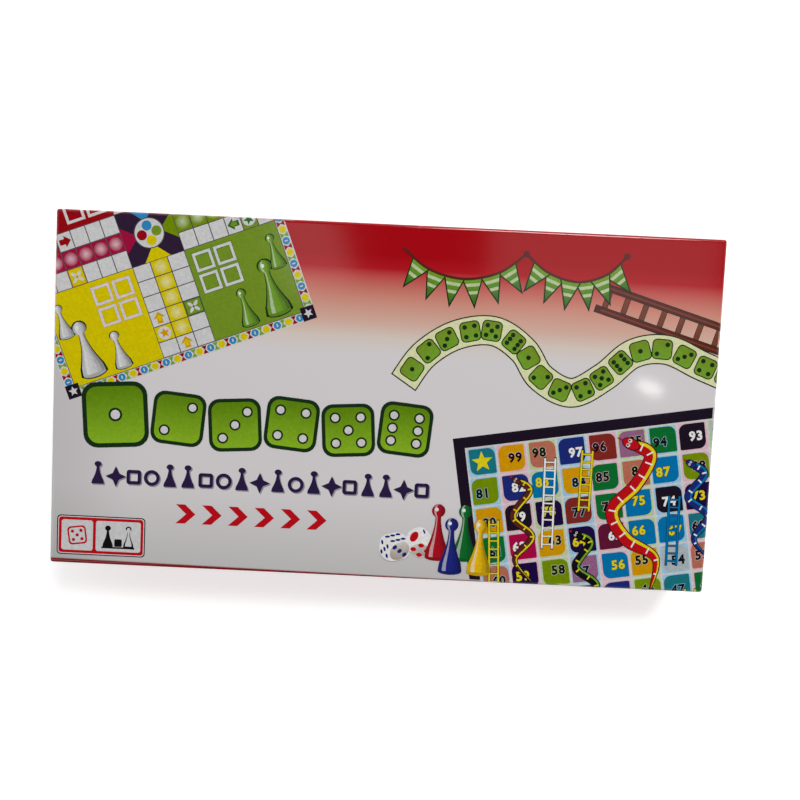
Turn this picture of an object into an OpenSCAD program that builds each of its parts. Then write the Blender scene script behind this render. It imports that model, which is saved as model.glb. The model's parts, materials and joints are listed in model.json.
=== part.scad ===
// Boxed travel set of snakes and ladders and ludo: a lid-and-base carton that
// lies flat, a moulded insert tray, a folding magnetic board, pawns and dice.
// Origin: centre of the underside. X runs along the long side of the printed
// face, Y up the printed face, and Z out of it. Millimetres.

/* [Box] */
// Outside length of the lid
box_l = 190; // [184:1:220]
// Outside width of the lid
box_w = 101.8; // [100:0.2:120]
// Thickness of the greyboard
greyboard_t = 1.2; // [1:0.1:1.6]
// Thickness of the printed covering paper
paper_t = 0.2; // [0.1:0.05:0.3]
// Radius of the creased outside edges, over the paper
crease_r = 0.8; // [0.5:0.1:1.2]
// Gap between lid and base on each side
lid_play = 0.4; // [0.3:0.1:0.8]
// Height of the base that shows below the lid's rim
base_band_h = 6; // [3:0.5:9]
// Length of paper turned in behind each rim
turn_in = 9; // [5:0.5:10]
// Height at which the base's paper begins, above the bare underside
base_paper_from = 0.3; // [0.2:0.1:1]

/* [Tray] */
// Wall of the moulded insert tray
tray_t = 0.6; // [0.4:0.1:0.8]
// Gap between tray and base on each side
tray_play = 0.4; // [0.3:0.1:0.8]
// Depth of the tray's outer skirt, from its top
tray_skirt_h = 4; // [2:0.5:8]
// Inside corner radius of the pockets
pocket_r = 3; // [1:0.5:5]
// Finger room beside the pawns in their pocket
pawn_finger_gap = 8.5; // [6:0.5:9]
// Finger room beside the dice in their pocket
dice_finger_gap = 18; // [12:1:24]
// Distance from the pawn pockets to the tray's long sides
pocket_side_margin = 5; // [3:0.5:7]
// Distance from the pawn pockets to the tray's short ends
pocket_end_margin = 11.8; // [10:0.2:16]
// Free height over the tallest piece in a pocket
pocket_headroom = 0.5; // [0.4:0.1:1.5]

/* [Folding board] */
// Thickness of one half of the board
plate_t = 4.4; // [3.6:0.2:6]
// Gap between board and base at each end
board_end_gap = 0.4; // [0.3:0.1:1]
// Gap between the folded board and base at front and back
board_side_gap = 0.8; // [0.6:0.1:1.2]
// Gap between the two halves when folded
fold_gap = 0.3; // [0.2:0.05:0.5]
// Distance from a half's hinged edge to the hinge axis
edge_gap = 0.2; // [0.1:0.05:0.3]
// Corner radius of the board
plate_corner_r = 4; // [2:0.5:6]
// Width of the plain rim round the printed faces
rim_w = 7; // [6.6:0.1:9]
// Thickness of the steel sheets
steel_t = 0.3; // [0.2:0.05:0.4]
// Thickness of the printed sheets
sheet_t = 0.15; // [0.1:0.05:0.25]
// Gap round a sheet in its recess
sheet_play = 0.1; // [0.05:0.05:0.2]
// How far the printed sheets lie below the rim that guards them
print_inset = 0.1; // [0.05:0.05:0.2]
// Radius of the thumb notch in the free edge
thumb_r = 9; // [6:0.5:12]
// Reach of the thumb notch into the free edge
thumb_reach = 4; // [2:0.5:5]
// Free height between the folded board and the lid
lid_headroom = 0.8; // [0.5:0.1:2]

/* [Hinge] */
// Radius of the hinge knuckles
knuckle_r = 1.9; // [1.6:0.05:2.1]
// Gap round a knuckle in the other half's notch
notch_play = 0.25; // [0.2:0.05:0.4]
// Distance of the knuckles from the recess and from the board's end
knuckle_margin = 0.5; // [0.3:0.1:1]
// Gap between neighbouring knuckles
knuckle_gap = 0.2; // [0.1:0.05:0.4]
// Radius of the hinge pins
pin_r = 0.75; // [0.6:0.05:0.9]
// Radial play of a pin in the half that carries it
pin_fit = 0.02; // [0.01:0.01:0.04]
// Radial play of a pin in the half that turns on it
pin_run_fit = 0.05; // [0.03:0.01:0.08]
// How far a pin stays back from each end of its knuckles
pin_inset = 0.1; // [0.05:0.05:0.3]

/* [Pawns] */
// Height of a pawn
pawn_h = 23.5; // [20:0.5:24]
// Radius of a pawn's foot
pawn_foot_r = 5.2; // [4.6:0.1:5.4]
// Radius at the top of the foot's band
pawn_band_r = 4.7; // [4.2:0.1:4.8]
// Height of the foot's band
pawn_band_h = 3.7; // [2.5:0.1:5]
// Bevel under the foot
pawn_bevel = 0.4; // [0.2:0.1:0.8]
// Radius of the neck
pawn_neck_r = 1.2; // [1:0.1:1.6]
// Height of the neck
pawn_neck_h = 17.2; // [14:0.1:18]
// Radius of the head
pawn_head_r = 2.9; // [2.4:0.1:3.2]
// Distance between pawns in their pocket
pawn_pitch = 11.6; // [11:0.1:11.8]
// Gap under and beside a pawn in its pocket
pawn_gap = 0.3; // [0.3:0.1:0.6]
// Radius of the magnet in a pawn's foot
magnet_r = 2.5; // [1.5:0.1:3]
// Thickness of that magnet
magnet_t = 2; // [1:0.1:3]
// Radial gap of glue round the magnet
magnet_glue = 0.02; // [0.02:0.01:0.08]

/* [Dice] */
// Edge of a die
die_s = 11; // [9:0.5:12]
// Radius of the sphere that rounds a die's corners
die_round_r = 7.7; // [7.4:0.1:8.2]
// Radius of the ball that cuts a pip
pip_ball_r = 1.6; // [1.2:0.05:1.8]
// Depth of a pip
pip_depth = 0.5; // [0.3:0.05:0.6]
// Radius of the ball that cuts the large single pip
one_ball_r = 3.2; // [2.4:0.1:4]
// Depth of the single pip
one_depth = 0.7; // [0.5:0.05:0.9]
// Distance of the outer pips from a face's centre
pip_spread = 2.8; // [2.4:0.1:3]
// Gap beside each die in the pocket
die_gap = 1; // [0.5:0.1:2]

/* [Hidden] */
// Facets of round shapes
$fn = 64;
// Overrun of every cut past the face it opens
overrun = 1;

// Carton
side_t = greyboard_t + 2 * paper_t;
lid_board_l = box_l - 2 * paper_t;
lid_board_w = box_w - 2 * paper_t;
base_l = box_l - 2 * side_t - 2 * lid_play;
base_w = box_w - 2 * side_t - 2 * lid_play;
base_board_l = base_l - 2 * paper_t;
base_board_w = base_w - 2 * paper_t;
inner_l = base_l - 2 * side_t;
inner_w = base_w - 2 * side_t;
board_edge_r = crease_r - paper_t;

// Pawn lying on its foot's edge and its head
head_h = pawn_h - pawn_head_r;
foot_to_head = norm([pawn_foot_r, head_h - pawn_bevel]);
lean = atan2(pawn_foot_r, head_h - pawn_bevel) - asin(pawn_head_r / foot_to_head);
foot_centre_h = pawn_foot_r * cos(lean) + pawn_bevel * sin(lean);
foot_overhang = pawn_foot_r * sin(lean);
pawn_lie_l = foot_overhang + head_h * cos(lean) + pawn_head_r;
pawns_in_pocket = 4;

// Tray
tray_l = inner_l - 2 * tray_play;
tray_w = inner_w - 2 * tray_play;
pocket_depth = max(2 * foot_centre_h + pawn_gap, die_s) + pocket_headroom;
tray_h = tray_t + pocket_depth;
tray_z = greyboard_t;
pocket_floor_z = tray_z + tray_t;
tray_top_z = tray_z + tray_h;
pawn_pocket_l = pawns_in_pocket * pawn_pitch;
pawn_pocket_w = pawn_lie_l + pawn_finger_gap + 2 * pawn_gap;
pawn_pocket_x = tray_l / 2 - pocket_end_margin - pawn_pocket_l / 2;
pawn_pocket_y = tray_w / 2 - pocket_side_margin - pawn_pocket_w / 2;
dice_pocket_l = 2 * die_s + 4 * die_gap;
dice_pocket_w = die_s + dice_finger_gap + die_gap;
die_x = die_gap + die_s / 2;
die_y = die_gap + die_s / 2 - dice_pocket_w / 2;

// Folding board
board_l = inner_l - 2 * board_end_gap;
folded_w = inner_w - 2 * board_side_gap;
hinge_y = folded_w / 2 - knuckle_r;
plate_w = hinge_y - edge_gap + folded_w / 2;
lower_z = tray_top_z;
hinge_z = lower_z + plate_t + fold_gap / 2;
upper_z = lower_z + plate_t + fold_gap;
recess_l = board_l - 2 * rim_w;
recess_w = plate_w - rim_w;
face_depth = steel_t + sheet_t + print_inset;
knuckle_in = recess_l / 2 + knuckle_margin;
knuckle_out = board_l / 2 - knuckle_margin;
knuckle_l = (knuckle_out - knuckle_in - knuckle_gap) / 2;
knuckle_mid = (knuckle_in + knuckle_out) / 2;

// Heights of the carton
rim_z = upper_z + plate_t + lid_headroom;
base_board_h = rim_z - paper_t;
lid_board_top_z = rim_z + greyboard_t;
box_h = lid_board_top_z + paper_t;
lid_board_h = lid_board_top_z - base_band_h - paper_t;

// Colours of the pawns and the corner of the tray where each lies
pawn_names = ["red", "blue", "green", "yellow"];
pawn_paints = ["#b3202a", "#2a4fa8", "#3f9a35", "#e8b820"];
pocket_sides = [[-1, 1], [1, 1], [-1, -1], [1, -1]];

// Pips of one to six, in shares of the spread
pip_shares = [
    [[0, 0]],
    [[-1, -1], [1, 1]],
    [[-1, -1], [0, 0], [1, 1]],
    [[-1, -1], [-1, 1], [1, -1], [1, 1]],
    [[-1, -1], [-1, 1], [0, 0], [1, -1], [1, 1]],
    [[-1, -1], [-1, 0], [-1, 1], [1, -1], [1, 0], [1, 1]]
];

// Rectangle about the origin with round corners
module rounded_rect(size_x, size_y, corner_r) {
    square([size_x - 2 * corner_r, size_y], center = true);
    square([size_x, size_y - 2 * corner_r], center = true);
    for (sx = [-1, 1], sy = [-1, 1])
        translate([sx * (size_x / 2 - corner_r), sy * (size_y / 2 - corner_r)])
            circle(r = corner_r);
}

// Side view of a block whose two lower corners are round, standing on y = 0
module round_foot_profile(size_x, size_y, corner_r) {
    translate([-size_x / 2, corner_r]) square([size_x, size_y - corner_r]);
    translate([corner_r - size_x / 2, 0]) square([size_x - 2 * corner_r, size_y]);
    for (sx = [-1, 1])
        translate([sx * (size_x / 2 - corner_r), corner_r]) circle(r = corner_r);
}

// Block standing on z = 0 with round upright edges and round lower edges
module creased_block(size_x, size_y, size_z, corner_r) {
    intersection() {
        linear_extrude(size_z) rounded_rect(size_x, size_y, corner_r);
        rotate([90, 0, 90]) linear_extrude(size_x + overrun, center = true)
            round_foot_profile(size_y, size_z, corner_r);
        rotate([90, 0, 0]) linear_extrude(size_y + overrun, center = true)
            round_foot_profile(size_x, size_z, corner_r);
    }
}

// Hollow of a greyboard cup, from its floor through its open top
module cup_hollow(size_x, size_y, size_z) {
    translate([0, 0, greyboard_t]) linear_extrude(size_z)
        square([size_x - 2 * greyboard_t, size_y - 2 * greyboard_t], center = true);
}

// Paper turned in behind the rim of a cup whose board ends at rim_h
module turned_in_paper(size_x, size_y, rim_h) {
    hollow_x = size_x - 2 * greyboard_t;
    hollow_y = size_y - 2 * greyboard_t;
    translate([0, 0, rim_h - turn_in]) linear_extrude(turn_in + paper_t) difference() {
        square([hollow_x, hollow_y], center = true);
        square([hollow_x - 2 * paper_t, hollow_y - 2 * paper_t], center = true);
    }
}

// Mouth through the paper that is folded over a rim
module paper_mouth(size_x, size_y, rim_h) {
    translate([0, 0, rim_h - paper_t]) linear_extrude(paper_t + overrun)
        square([size_x - 2 * side_t + 2 * paper_t, size_y - 2 * side_t + 2 * paper_t], center = true);
}

module base_board() {
    color("#a79c8b") difference() {
        linear_extrude(base_board_h) rounded_rect(base_board_l, base_board_w, board_edge_r);
        cup_hollow(base_board_l, base_board_w, base_board_h);
    }
}

module base_wrap() {
    color("#b3131d") {
        difference() {
            translate([0, 0, base_paper_from]) linear_extrude(rim_z - base_paper_from)
                rounded_rect(base_l, base_w, crease_r);
            linear_extrude(base_board_h) rounded_rect(base_board_l, base_board_w, board_edge_r);
            paper_mouth(base_board_l, base_board_w, base_board_h);
        }
        turned_in_paper(base_board_l, base_board_w, base_board_h);
    }
}

// Turns a cup upside down, so that its underside lies at height top_z
module upside_down(top_z) {
    translate([0, 0, top_z]) mirror([0, 0, 1]) children();
}

module lid_board() {
    color("#a79c8b") upside_down(lid_board_top_z) difference() {
        creased_block(lid_board_l, lid_board_w, lid_board_h, board_edge_r);
        cup_hollow(lid_board_l, lid_board_w, lid_board_h);
    }
}

module lid_wrap() {
    color("#c9c5c8") upside_down(lid_board_top_z) {
        difference() {
            translate([0, 0, -paper_t])
                creased_block(box_l, box_w, lid_board_h + 2 * paper_t, crease_r);
            creased_block(lid_board_l, lid_board_w, lid_board_h, board_edge_r);
            paper_mouth(lid_board_l, lid_board_w, lid_board_h);
        }
        turned_in_paper(lid_board_l, lid_board_w, lid_board_h);
    }
}

// Calls its child once for each pawn pocket, moved to the pocket's centre
module each_pawn_pocket() {
    for (side = pocket_sides)
        translate([side[0] * pawn_pocket_x, side[1] * pawn_pocket_y, 0]) children();
}

// All pockets of the tray, grown by wall on every side, from floor_z up to top_z
module pockets(wall, floor_z, top_z) {
    translate([0, 0, floor_z]) linear_extrude(top_z - floor_z) {
        each_pawn_pocket()
            rounded_rect(pawn_pocket_l + 2 * wall, pawn_pocket_w + 2 * wall, pocket_r + wall);
        rounded_rect(dice_pocket_l + 2 * wall, dice_pocket_w + 2 * wall, pocket_r + wall);
    }
}

module insert_tray() {
    color("#e9e7e2") difference() {
        union() {
            translate([0, 0, tray_top_z - tray_skirt_h]) linear_extrude(tray_skirt_h) difference() {
                rounded_rect(tray_l, tray_w, pocket_r);
                rounded_rect(tray_l - 2 * tray_t, tray_w - 2 * tray_t, pocket_r - tray_t);
            }
            translate([0, 0, tray_top_z - tray_t]) linear_extrude(tray_t)
                rounded_rect(tray_l, tray_w, pocket_r);
            pockets(tray_t, tray_z, tray_top_z);
        }
        pockets(0, pocket_floor_z, tray_top_z + overrun);
    }
}

// Outline of one half, square at its hinged edge and round at its free corners
module plate_outline() {
    translate([-board_l / 2, -folded_w / 2 + plate_corner_r])
        square([board_l, plate_w - plate_corner_r]);
    translate([plate_corner_r - board_l / 2, -folded_w / 2])
        square([board_l - 2 * plate_corner_r, plate_w]);
    for (sx = [-1, 1])
        translate([sx * (board_l / 2 - plate_corner_r), plate_corner_r - folded_w / 2])
            circle(r = plate_corner_r);
}

// Shallow recess for the sheets, open at the hinged edge
module sheet_recess(floor_z, depth) {
    translate([-recess_l / 2, rim_w - folded_w / 2, floor_z])
        cube([recess_l, recess_w + overrun, depth]);
}

// A sheet that lies in a recess
module recessed_sheet(floor_z, thickness) {
    translate([sheet_play - recess_l / 2, rim_w - folded_w / 2 + sheet_play, floor_z])
        cube([recess_l - 2 * sheet_play, recess_w - 2 * sheet_play, thickness]);
}

// Round bar on the hinge axis from x_from to x_to on one side of the board
module hinge_bar(side, x_from, x_to, bar_r) {
    translate([side * (x_from + x_to) / 2, hinge_y, hinge_z])
        rotate([0, 90, 0]) cylinder(h = x_to - x_from, r = bar_r, center = true);
}

// One half of the board: its slab with both recesses, notches, knuckles and pin bores
module board_plate(slab_z, inner_z, outer_z, knuckle_from, notch_from, notch_to, bore_r) {
    difference() {
        union() {
            difference() {
                translate([0, 0, slab_z]) linear_extrude(plate_t) plate_outline();
                for (side = [-1, 1])
                    hinge_bar(side, notch_from, notch_to, knuckle_r + notch_play);
                sheet_recess(inner_z, face_depth + fold_gap / 2);
                sheet_recess(outer_z, face_depth + fold_gap / 2);
            }
            for (side = [-1, 1])
                hinge_bar(side, knuckle_from, knuckle_from + knuckle_l, knuckle_r);
        }
        for (side = [-1, 1])
            hinge_bar(side, knuckle_in - overrun, knuckle_out + overrun, bore_r);
    }
}

module board_plate_lower() {
    color("#1d2a55") difference() {
        board_plate(
            slab_z = lower_z,
            inner_z = lower_z + plate_t - face_depth,
            outer_z = lower_z - fold_gap / 2,
            knuckle_from = knuckle_out - knuckle_l,
            notch_from = knuckle_in - pin_inset,
            notch_to = knuckle_mid,
            bore_r = pin_r + pin_fit
        );
        translate([0, thumb_reach - folded_w / 2 - thumb_r, lower_z + plate_t / 2])
            cylinder(h = plate_t, r = thumb_r);
    }
}

module board_plate_upper() {
    color("#1d2a55") board_plate(
        slab_z = upper_z,
        inner_z = upper_z - fold_gap / 2,
        outer_z = upper_z + plate_t - face_depth,
        knuckle_from = knuckle_in,
        notch_from = knuckle_mid,
        notch_to = board_l / 2 + overrun,
        bore_r = pin_r + pin_run_fit
    );
}

module steel_snakes_lower() {
    color("#9aa0a6") recessed_sheet(lower_z + plate_t - face_depth, steel_t);
}

module snakes_sheet_lower() {
    color("#4fb3d9") recessed_sheet(lower_z + plate_t - print_inset - sheet_t, sheet_t);
}

module steel_ludo_lower() {
    color("#9aa0a6") recessed_sheet(lower_z + print_inset + sheet_t, steel_t);
}

module ludo_sheet_lower() {
    color("#f2f2ee") recessed_sheet(lower_z + print_inset, sheet_t);
}

module steel_snakes_upper() {
    color("#9aa0a6") recessed_sheet(upper_z + print_inset + sheet_t, steel_t);
}

module snakes_sheet_upper() {
    color("#e0922f") recessed_sheet(upper_z + print_inset, sheet_t);
}

module steel_ludo_upper() {
    color("#9aa0a6") recessed_sheet(upper_z + plate_t - face_depth, steel_t);
}

module ludo_sheet_upper() {
    color("#f2f2ee") recessed_sheet(upper_z + plate_t - print_inset - sheet_t, sheet_t);
}

module hinge_pin(side) {
    color("#c4c6c8") hinge_bar(side, knuckle_in + pin_inset, knuckle_out - pin_inset, pin_r);
}

// Half outline of a pawn without its head; the waist is a curve that falls off
// steeply above the band and then runs up to the neck
waist_steps = 10;
waist_power = 1.7;
function waist_r(share) = pawn_neck_r + (pawn_band_r - pawn_neck_r) * pow(1 - share, waist_power);
function waist_h(share) = pawn_band_h + (pawn_neck_h - pawn_band_h) * share;

module pawn_body() {
    rotate_extrude() polygon(concat(
        [[0, 0], [pawn_foot_r - pawn_bevel, 0], [pawn_foot_r, pawn_bevel]],
        [for (i = [0:waist_steps]) [waist_r(i / waist_steps), waist_h(i / waist_steps)]],
        [[pawn_neck_r, head_h], [0, head_h]]
    ));
}

// A pawn standing on z = 0, with the blind hole for its magnet
module standing_pawn() {
    difference() {
        union() {
            pawn_body();
            translate([0, 0, head_h]) sphere(r = pawn_head_r);
        }
        translate([0, 0, -overrun])
            cylinder(h = magnet_t + overrun, r = magnet_r + magnet_glue);
    }
}

// Lays its child down in the pocket of pawn colour c, as pawn number i
module in_pawn_pocket(c, i) {
    side = pocket_sides[c];
    translate([
        side[0] * pawn_pocket_x + (i - (pawns_in_pocket + 1) / 2) * pawn_pitch,
        side[1] * pawn_pocket_y - pawn_pocket_w / 2 + pawn_gap + foot_overhang,
        pocket_floor_z + pawn_gap + foot_centre_h
    ]) rotate([-90 - lean, 0, 0]) children();
}

module pawn(c, i) {
    color(pawn_paints[c]) in_pawn_pocket(c, i) standing_pawn();
}

module pawn_magnet(c, i) {
    color("#8d9196") in_pawn_pocket(c, i) cylinder(h = magnet_t, r = magnet_r);
}

// Balls that cut the pips of one face, which lies at z = die_s / 2
module pip_cutters(count) {
    ball_r = count == 1 ? one_ball_r : pip_ball_r;
    depth = count == 1 ? one_depth : pip_depth;
    for (share = pip_shares[count - 1])
        translate([share[0] * pip_spread, share[1] * pip_spread, die_s / 2 + ball_r - depth])
            sphere(r = ball_r);
}

// A die about the origin; opposite faces add up to seven
module die() {
    color("#f4f2ec") difference() {
        intersection() {
            cube(die_s, center = true);
            sphere(r = die_round_r);
        }
        pip_cutters(5);
        rotate([180, 0, 0]) pip_cutters(2);
        rotate([90, 0, 0]) pip_cutters(3);
        rotate([-90, 0, 0]) pip_cutters(4);
        rotate([0, 90, 0]) pip_cutters(6);
        rotate([0, -90, 0]) pip_cutters(1);
    }
}

module die_in_tray(side) {
    translate([side * die_x, die_y, pocket_floor_z + die_s / 2]) die();
}

base_board();
base_wrap();
lid_board();
lid_wrap();
insert_tray();
board_plate_lower();
steel_snakes_lower();
snakes_sheet_lower();
steel_ludo_lower();
ludo_sheet_lower();
board_plate_upper();
steel_snakes_upper();
snakes_sheet_upper();
steel_ludo_upper();
ludo_sheet_upper();
hinge_pin(-1);  // hinge_pin_left
hinge_pin(1);  // hinge_pin_right
die_in_tray(-1);  // die_left
die_in_tray(1);  // die_right
for (c = [0:len(pawn_names) - 1], i = [1:pawns_in_pocket]) {
    pawn(c, i);
    pawn_magnet(c, i);
}
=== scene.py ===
"""Looks of a boxed snakes and ladders set.

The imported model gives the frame: where every solid lies and which body it
moves with. This script wraps the box in its printed paper, prints the two
boards, turns the pawns and dresses every solid in its own finish.

Sheets are drawn in millimetres and everything in the scene is in metres.
"""
import json
import logging
import math
from dataclasses import dataclass, field
from enum import Enum
from functools import cache
from typing import Callable, Self, Sequence

import bmesh
import bpy
from bmesh.types import BMesh, BMEdge, BMVert
from bpy.types import Material
from bpy.types import NodeSocket as Socket
from mathutils import Matrix, Vector


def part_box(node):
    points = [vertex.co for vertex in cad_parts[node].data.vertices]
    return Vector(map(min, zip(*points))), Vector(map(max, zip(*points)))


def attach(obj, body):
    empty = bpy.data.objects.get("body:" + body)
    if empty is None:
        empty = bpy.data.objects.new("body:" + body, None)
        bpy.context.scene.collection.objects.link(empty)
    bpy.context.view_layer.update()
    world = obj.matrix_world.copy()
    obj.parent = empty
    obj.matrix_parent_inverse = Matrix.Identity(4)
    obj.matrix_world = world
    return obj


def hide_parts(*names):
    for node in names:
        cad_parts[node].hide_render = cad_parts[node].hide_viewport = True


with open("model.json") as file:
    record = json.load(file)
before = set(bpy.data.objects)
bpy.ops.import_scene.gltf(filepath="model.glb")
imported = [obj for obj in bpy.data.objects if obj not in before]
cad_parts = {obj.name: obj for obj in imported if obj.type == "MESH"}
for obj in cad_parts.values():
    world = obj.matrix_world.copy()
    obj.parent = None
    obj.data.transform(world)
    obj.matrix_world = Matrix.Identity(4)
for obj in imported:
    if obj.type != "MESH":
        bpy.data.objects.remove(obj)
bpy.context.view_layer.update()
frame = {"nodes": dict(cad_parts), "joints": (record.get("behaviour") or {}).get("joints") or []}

LOG = logging.getLogger("boxed_set")
MM = 0.001
QUARTER = math.pi / 2
Point = tuple[float, float]
Triple = tuple[float, float, float]
Rgba = tuple[float, float, float, float]


def linear(channel: float) -> float:
    """Return one display channel, 0 to 1, as linear light."""
    return channel / 12.92 if channel <= 0.04045 else ((channel + 0.055) / 1.055) ** 2.4


def darker(colour: Rgba, share: float) -> Rgba:
    """Return a colour with only a share of its light left."""
    return (*(share * part for part in colour[:3]), 1.0)


class Ink(Enum):
    """Printing inks and moulding colours, as display colours."""

    RED = "98050f"
    RED_END = "a2121c"
    ROSE = "b04a46"
    BLUSH = "bd8070"
    SHELL = "c3a193"
    CREAM_PAPER = "c6bab1"
    PAPER = "c5c1c2"
    # Paper at the front of the face, darker as painted shade.
    PAPER_LOW = "b2afaf"
    # Red print bleed over the front edge, darker than the wall red as painted shade.
    BLEED_RED = "76060a"
    WHITE = "c3c2c2"
    LIGHT = "dddbd9"
    BLACK = "0e0e11"
    KEY_LINE = "47474b"
    GRASS_DEEP = "587c0c"
    GRASS = "7fa821"
    PINE = "152c15"
    VIOLET = "281a3e"
    VIOLET_SHADE = "8d8894"
    SCARLET = "b00c17"
    YELLOW = "c8b700"
    YELLOW_PALE = "d2cb94"
    GREEN = "6c8822"
    GREEN_PALE = "b0bd92"
    CARD_RED = "8c0712"
    CRIMSON = "960d38"
    PINK_PALE = "d0a9b4"
    SKY = "2f7cae"
    SKY_PALE = "94b8cd"
    NAVY = "1a101f"
    HOME_PURPLE = "2b1b32"
    CYAN = "00699f"
    INDIGO = "1a083c"
    AMBER = "c48b02"
    MAGENTA = "9f063e"
    EMERALD = "08642a"
    PLUM = "2b0e3a"
    BRICK = "77241d"
    LIME = "6b8404"
    MAROON = "59122e"
    SALMON = "aa6450"
    LILAC = "8a5a7c"
    MIST = "a2abad"
    TEAL = "166c77"
    ROYAL = "19266c"
    LEAF = "6a962a"
    LEAF_DEEP = "2a601e"
    BARK = "54201a"
    BARK_LIGHT = "71382a"
    IVORY = "cfcfa6"
    ORANGE = "c05d18"
    LEMON = "d2c216"
    PAWN_RED = "a20f20"
    PAWN_BLUE = "1c2478"
    PAWN_GREEN = "0c6428"
    PAWN_YELLOW = "dcae0c"
    DIE_SHADE = "a1958c"
    DIE_LIGHT = "cfcac6"

    @property
    def rgba(self) -> Rgba:
        """Return the ink as linear red, green, blue and an alpha of 1."""
        parts = [int(self.value[i : i + 2], 16) / 255 for i in (0, 2, 4)]
        return (*[linear(part) for part in parts], 1.0)


@dataclass(frozen=True)
class Fade:
    """A tint that runs from one ink to another across a figure.

    Attributes:
        first: Ink up to the start.
        last: Ink from the end on.
        start: Height at which the fade starts, or radius if it runs outwards.
        end: Height or radius at which it ends.
        outwards: True to run outwards from the figure's origin, not upwards.
    """

    first: Ink
    last: Ink
    start: float
    end: float
    outwards: bool = False

    def at(self, spot: Vector) -> list[float]:
        """Return the colour at a spot of the figure.

        Args:
            spot: The spot, in the figure's own units.

        Returns:
            Linear red, green, blue and alpha.
        """
        reach = spot.xy.length if self.outwards else spot.y
        share = min(max((reach - self.start) / (self.end - self.start), 0.0), 1.0)
        return [a + (b - a) * share for a, b in zip(self.first.rgba, self.last.rgba)]


@dataclass(frozen=True)
class Blend:
    """An even tint between two inks."""

    first: Ink
    last: Ink
    share: float

    def at(self, _spot: Vector) -> list[float]:
        """Return the colour, which is the same at every spot."""
        return [a + (b - a) * self.share for a, b in zip(self.first.rgba, self.last.rgba)]


Tint = Ink | Fade | Blend


def flat_place(x: float = 0.0, y: float = 0.0, turn: float = 0.0, scale: float = 1.0) -> Matrix:
    """Return the matrix that scales, turns and moves a flat figure.

    Args:
        x: Move along X.
        y: Move along Y.
        turn: Turn about Z in radians.
        scale: Scale of X and Y.

    Returns:
        The 4 by 4 matrix, which leaves heights alone.
    """
    sizing = Matrix.Diagonal((scale, scale, 1.0, 1.0))
    return Matrix.Translation((x, y, 0.0)) @ Matrix.Rotation(turn, 4, "Z") @ sizing


def slice_off(figure: BMesh, at: Vector, outward: Vector, clear: bool = True) -> None:
    """Cut a mesh along a plane.

    Args:
        figure: The mesh.
        at: A point of the plane.
        outward: The plane's normal.
        clear: True to drop what lies past the plane, False to score only.
    """
    geom = figure.verts[:] + figure.edges[:] + figure.faces[:]
    bmesh.ops.bisect_plane(figure, geom=geom, plane_co=at, plane_no=outward,
                           clear_outer=clear)


def round_off(figure: BMesh, geom: list, radius: float, segments: int = 5,
              affect: str = "VERTICES") -> None:
    """Round corners or edges of a mesh.

    Args:
        figure: The mesh.
        geom: Its corners or edges to round.
        radius: Radius of the round.
        segments: Segments of each round.
        affect: VERTICES for corners of a flat figure, EDGES for edges.
    """
    bmesh.ops.bevel(figure, geom=geom, offset=radius, segments=segments, profile=0.5,
                    affect=affect, material=-1)


def lathed(outline: Sequence[Point], steps: int, weld: float) -> BMesh:
    """Return the closed mesh that an outline sweeps in a full turn about Z.

    Args:
        outline: Radius and height of each of its points.
        steps: Steps of the turn.
        weld: Distance up to which corners are merged.

    Returns:
        The mesh, with all faces looking outwards.
    """
    shape = bmesh.new()
    verts = [shape.verts.new((radius, 0.0, height)) for radius, height in outline]
    edges = [shape.edges.new(pair) for pair in zip(verts, verts[1:])]
    bmesh.ops.spin(shape, geom=verts + edges, axis=(0, 0, 1), cent=(0, 0, 0),
                   angle=2 * math.pi, steps=steps, use_merge=True)
    bmesh.ops.remove_doubles(shape, verts=shape.verts, dist=weld)
    bmesh.ops.recalc_face_normals(shape, faces=shape.faces[:])
    return shape


def as_mesh(name: str, shape: BMesh) -> bpy.types.Mesh:
    """Turn a mesh under construction into a finished one.

    Args:
        name: Name of the new mesh.
        shape: The old one, which is used up.

    Returns:
        The new mesh.
    """
    mesh = bpy.data.meshes.new(name)
    shape.to_mesh(mesh)
    shape.free()
    return mesh


def placed(name: str, data: bpy.types.ID) -> bpy.types.Object:
    """Put a new object into the scene.

    Args:
        name: Its name.
        data: The mesh, lamp or camera that it shows.

    Returns:
        The new object.
    """
    thing = bpy.data.objects.new(name, data)
    bpy.context.scene.collection.objects.link(thing)
    return thing


def tile(width: float, height: float, radii: Sequence[float] | float = 0.0) -> BMesh:
    """Return a flat rectangle about the origin with round corners.

    Args:
        width: Size along X.
        height: Size along Y.
        radii: One radius, or those of the corners in the order lower left,
            lower right, upper left and upper right.

    Returns:
        A mesh of one flat face.
    """
    figure = bmesh.new()
    bmesh.ops.create_grid(figure, x_segments=1, y_segments=1, size=0.5)
    bmesh.ops.scale(figure, vec=(width, height, 1.0), verts=figure.verts)
    corners = list(figure.verts)
    each = [radii] * len(corners) if isinstance(radii, (int, float)) else list(radii)
    for corner, radius in zip(corners, each):
        if radius > 0:
            round_off(figure, [corner], radius)
    return figure


def disc(radius: float, sides: int = 28, squash: float = 1.0, fan: bool = False) -> BMesh:
    """Return a flat disc.

    Args:
        radius: Its radius.
        sides: Corners of its outline.
        squash: Share of its size along Y.
        fan: True for a fan of faces, not one.

    Returns:
        A flat mesh about the origin.
    """
    figure = bmesh.new()
    bmesh.ops.create_circle(figure, cap_ends=True, cap_tris=fan, segments=sides, radius=radius)
    bmesh.ops.scale(figure, vec=(1.0, squash, 1.0), verts=figure.verts)
    return figure


def hollowed(figure: BMesh, stroke: float) -> BMesh:
    """Cut the middle out of a flat figure.

    Args:
        figure: The figure.
        stroke: Width of the band that stays.

    Returns:
        The same figure.
    """
    inner = figure.faces[:]
    bmesh.ops.inset_region(figure, faces=inner, thickness=stroke, use_boundary=True,
                           use_even_offset=True)
    bmesh.ops.delete(figure, geom=inner, context="FACES")
    return figure


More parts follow.
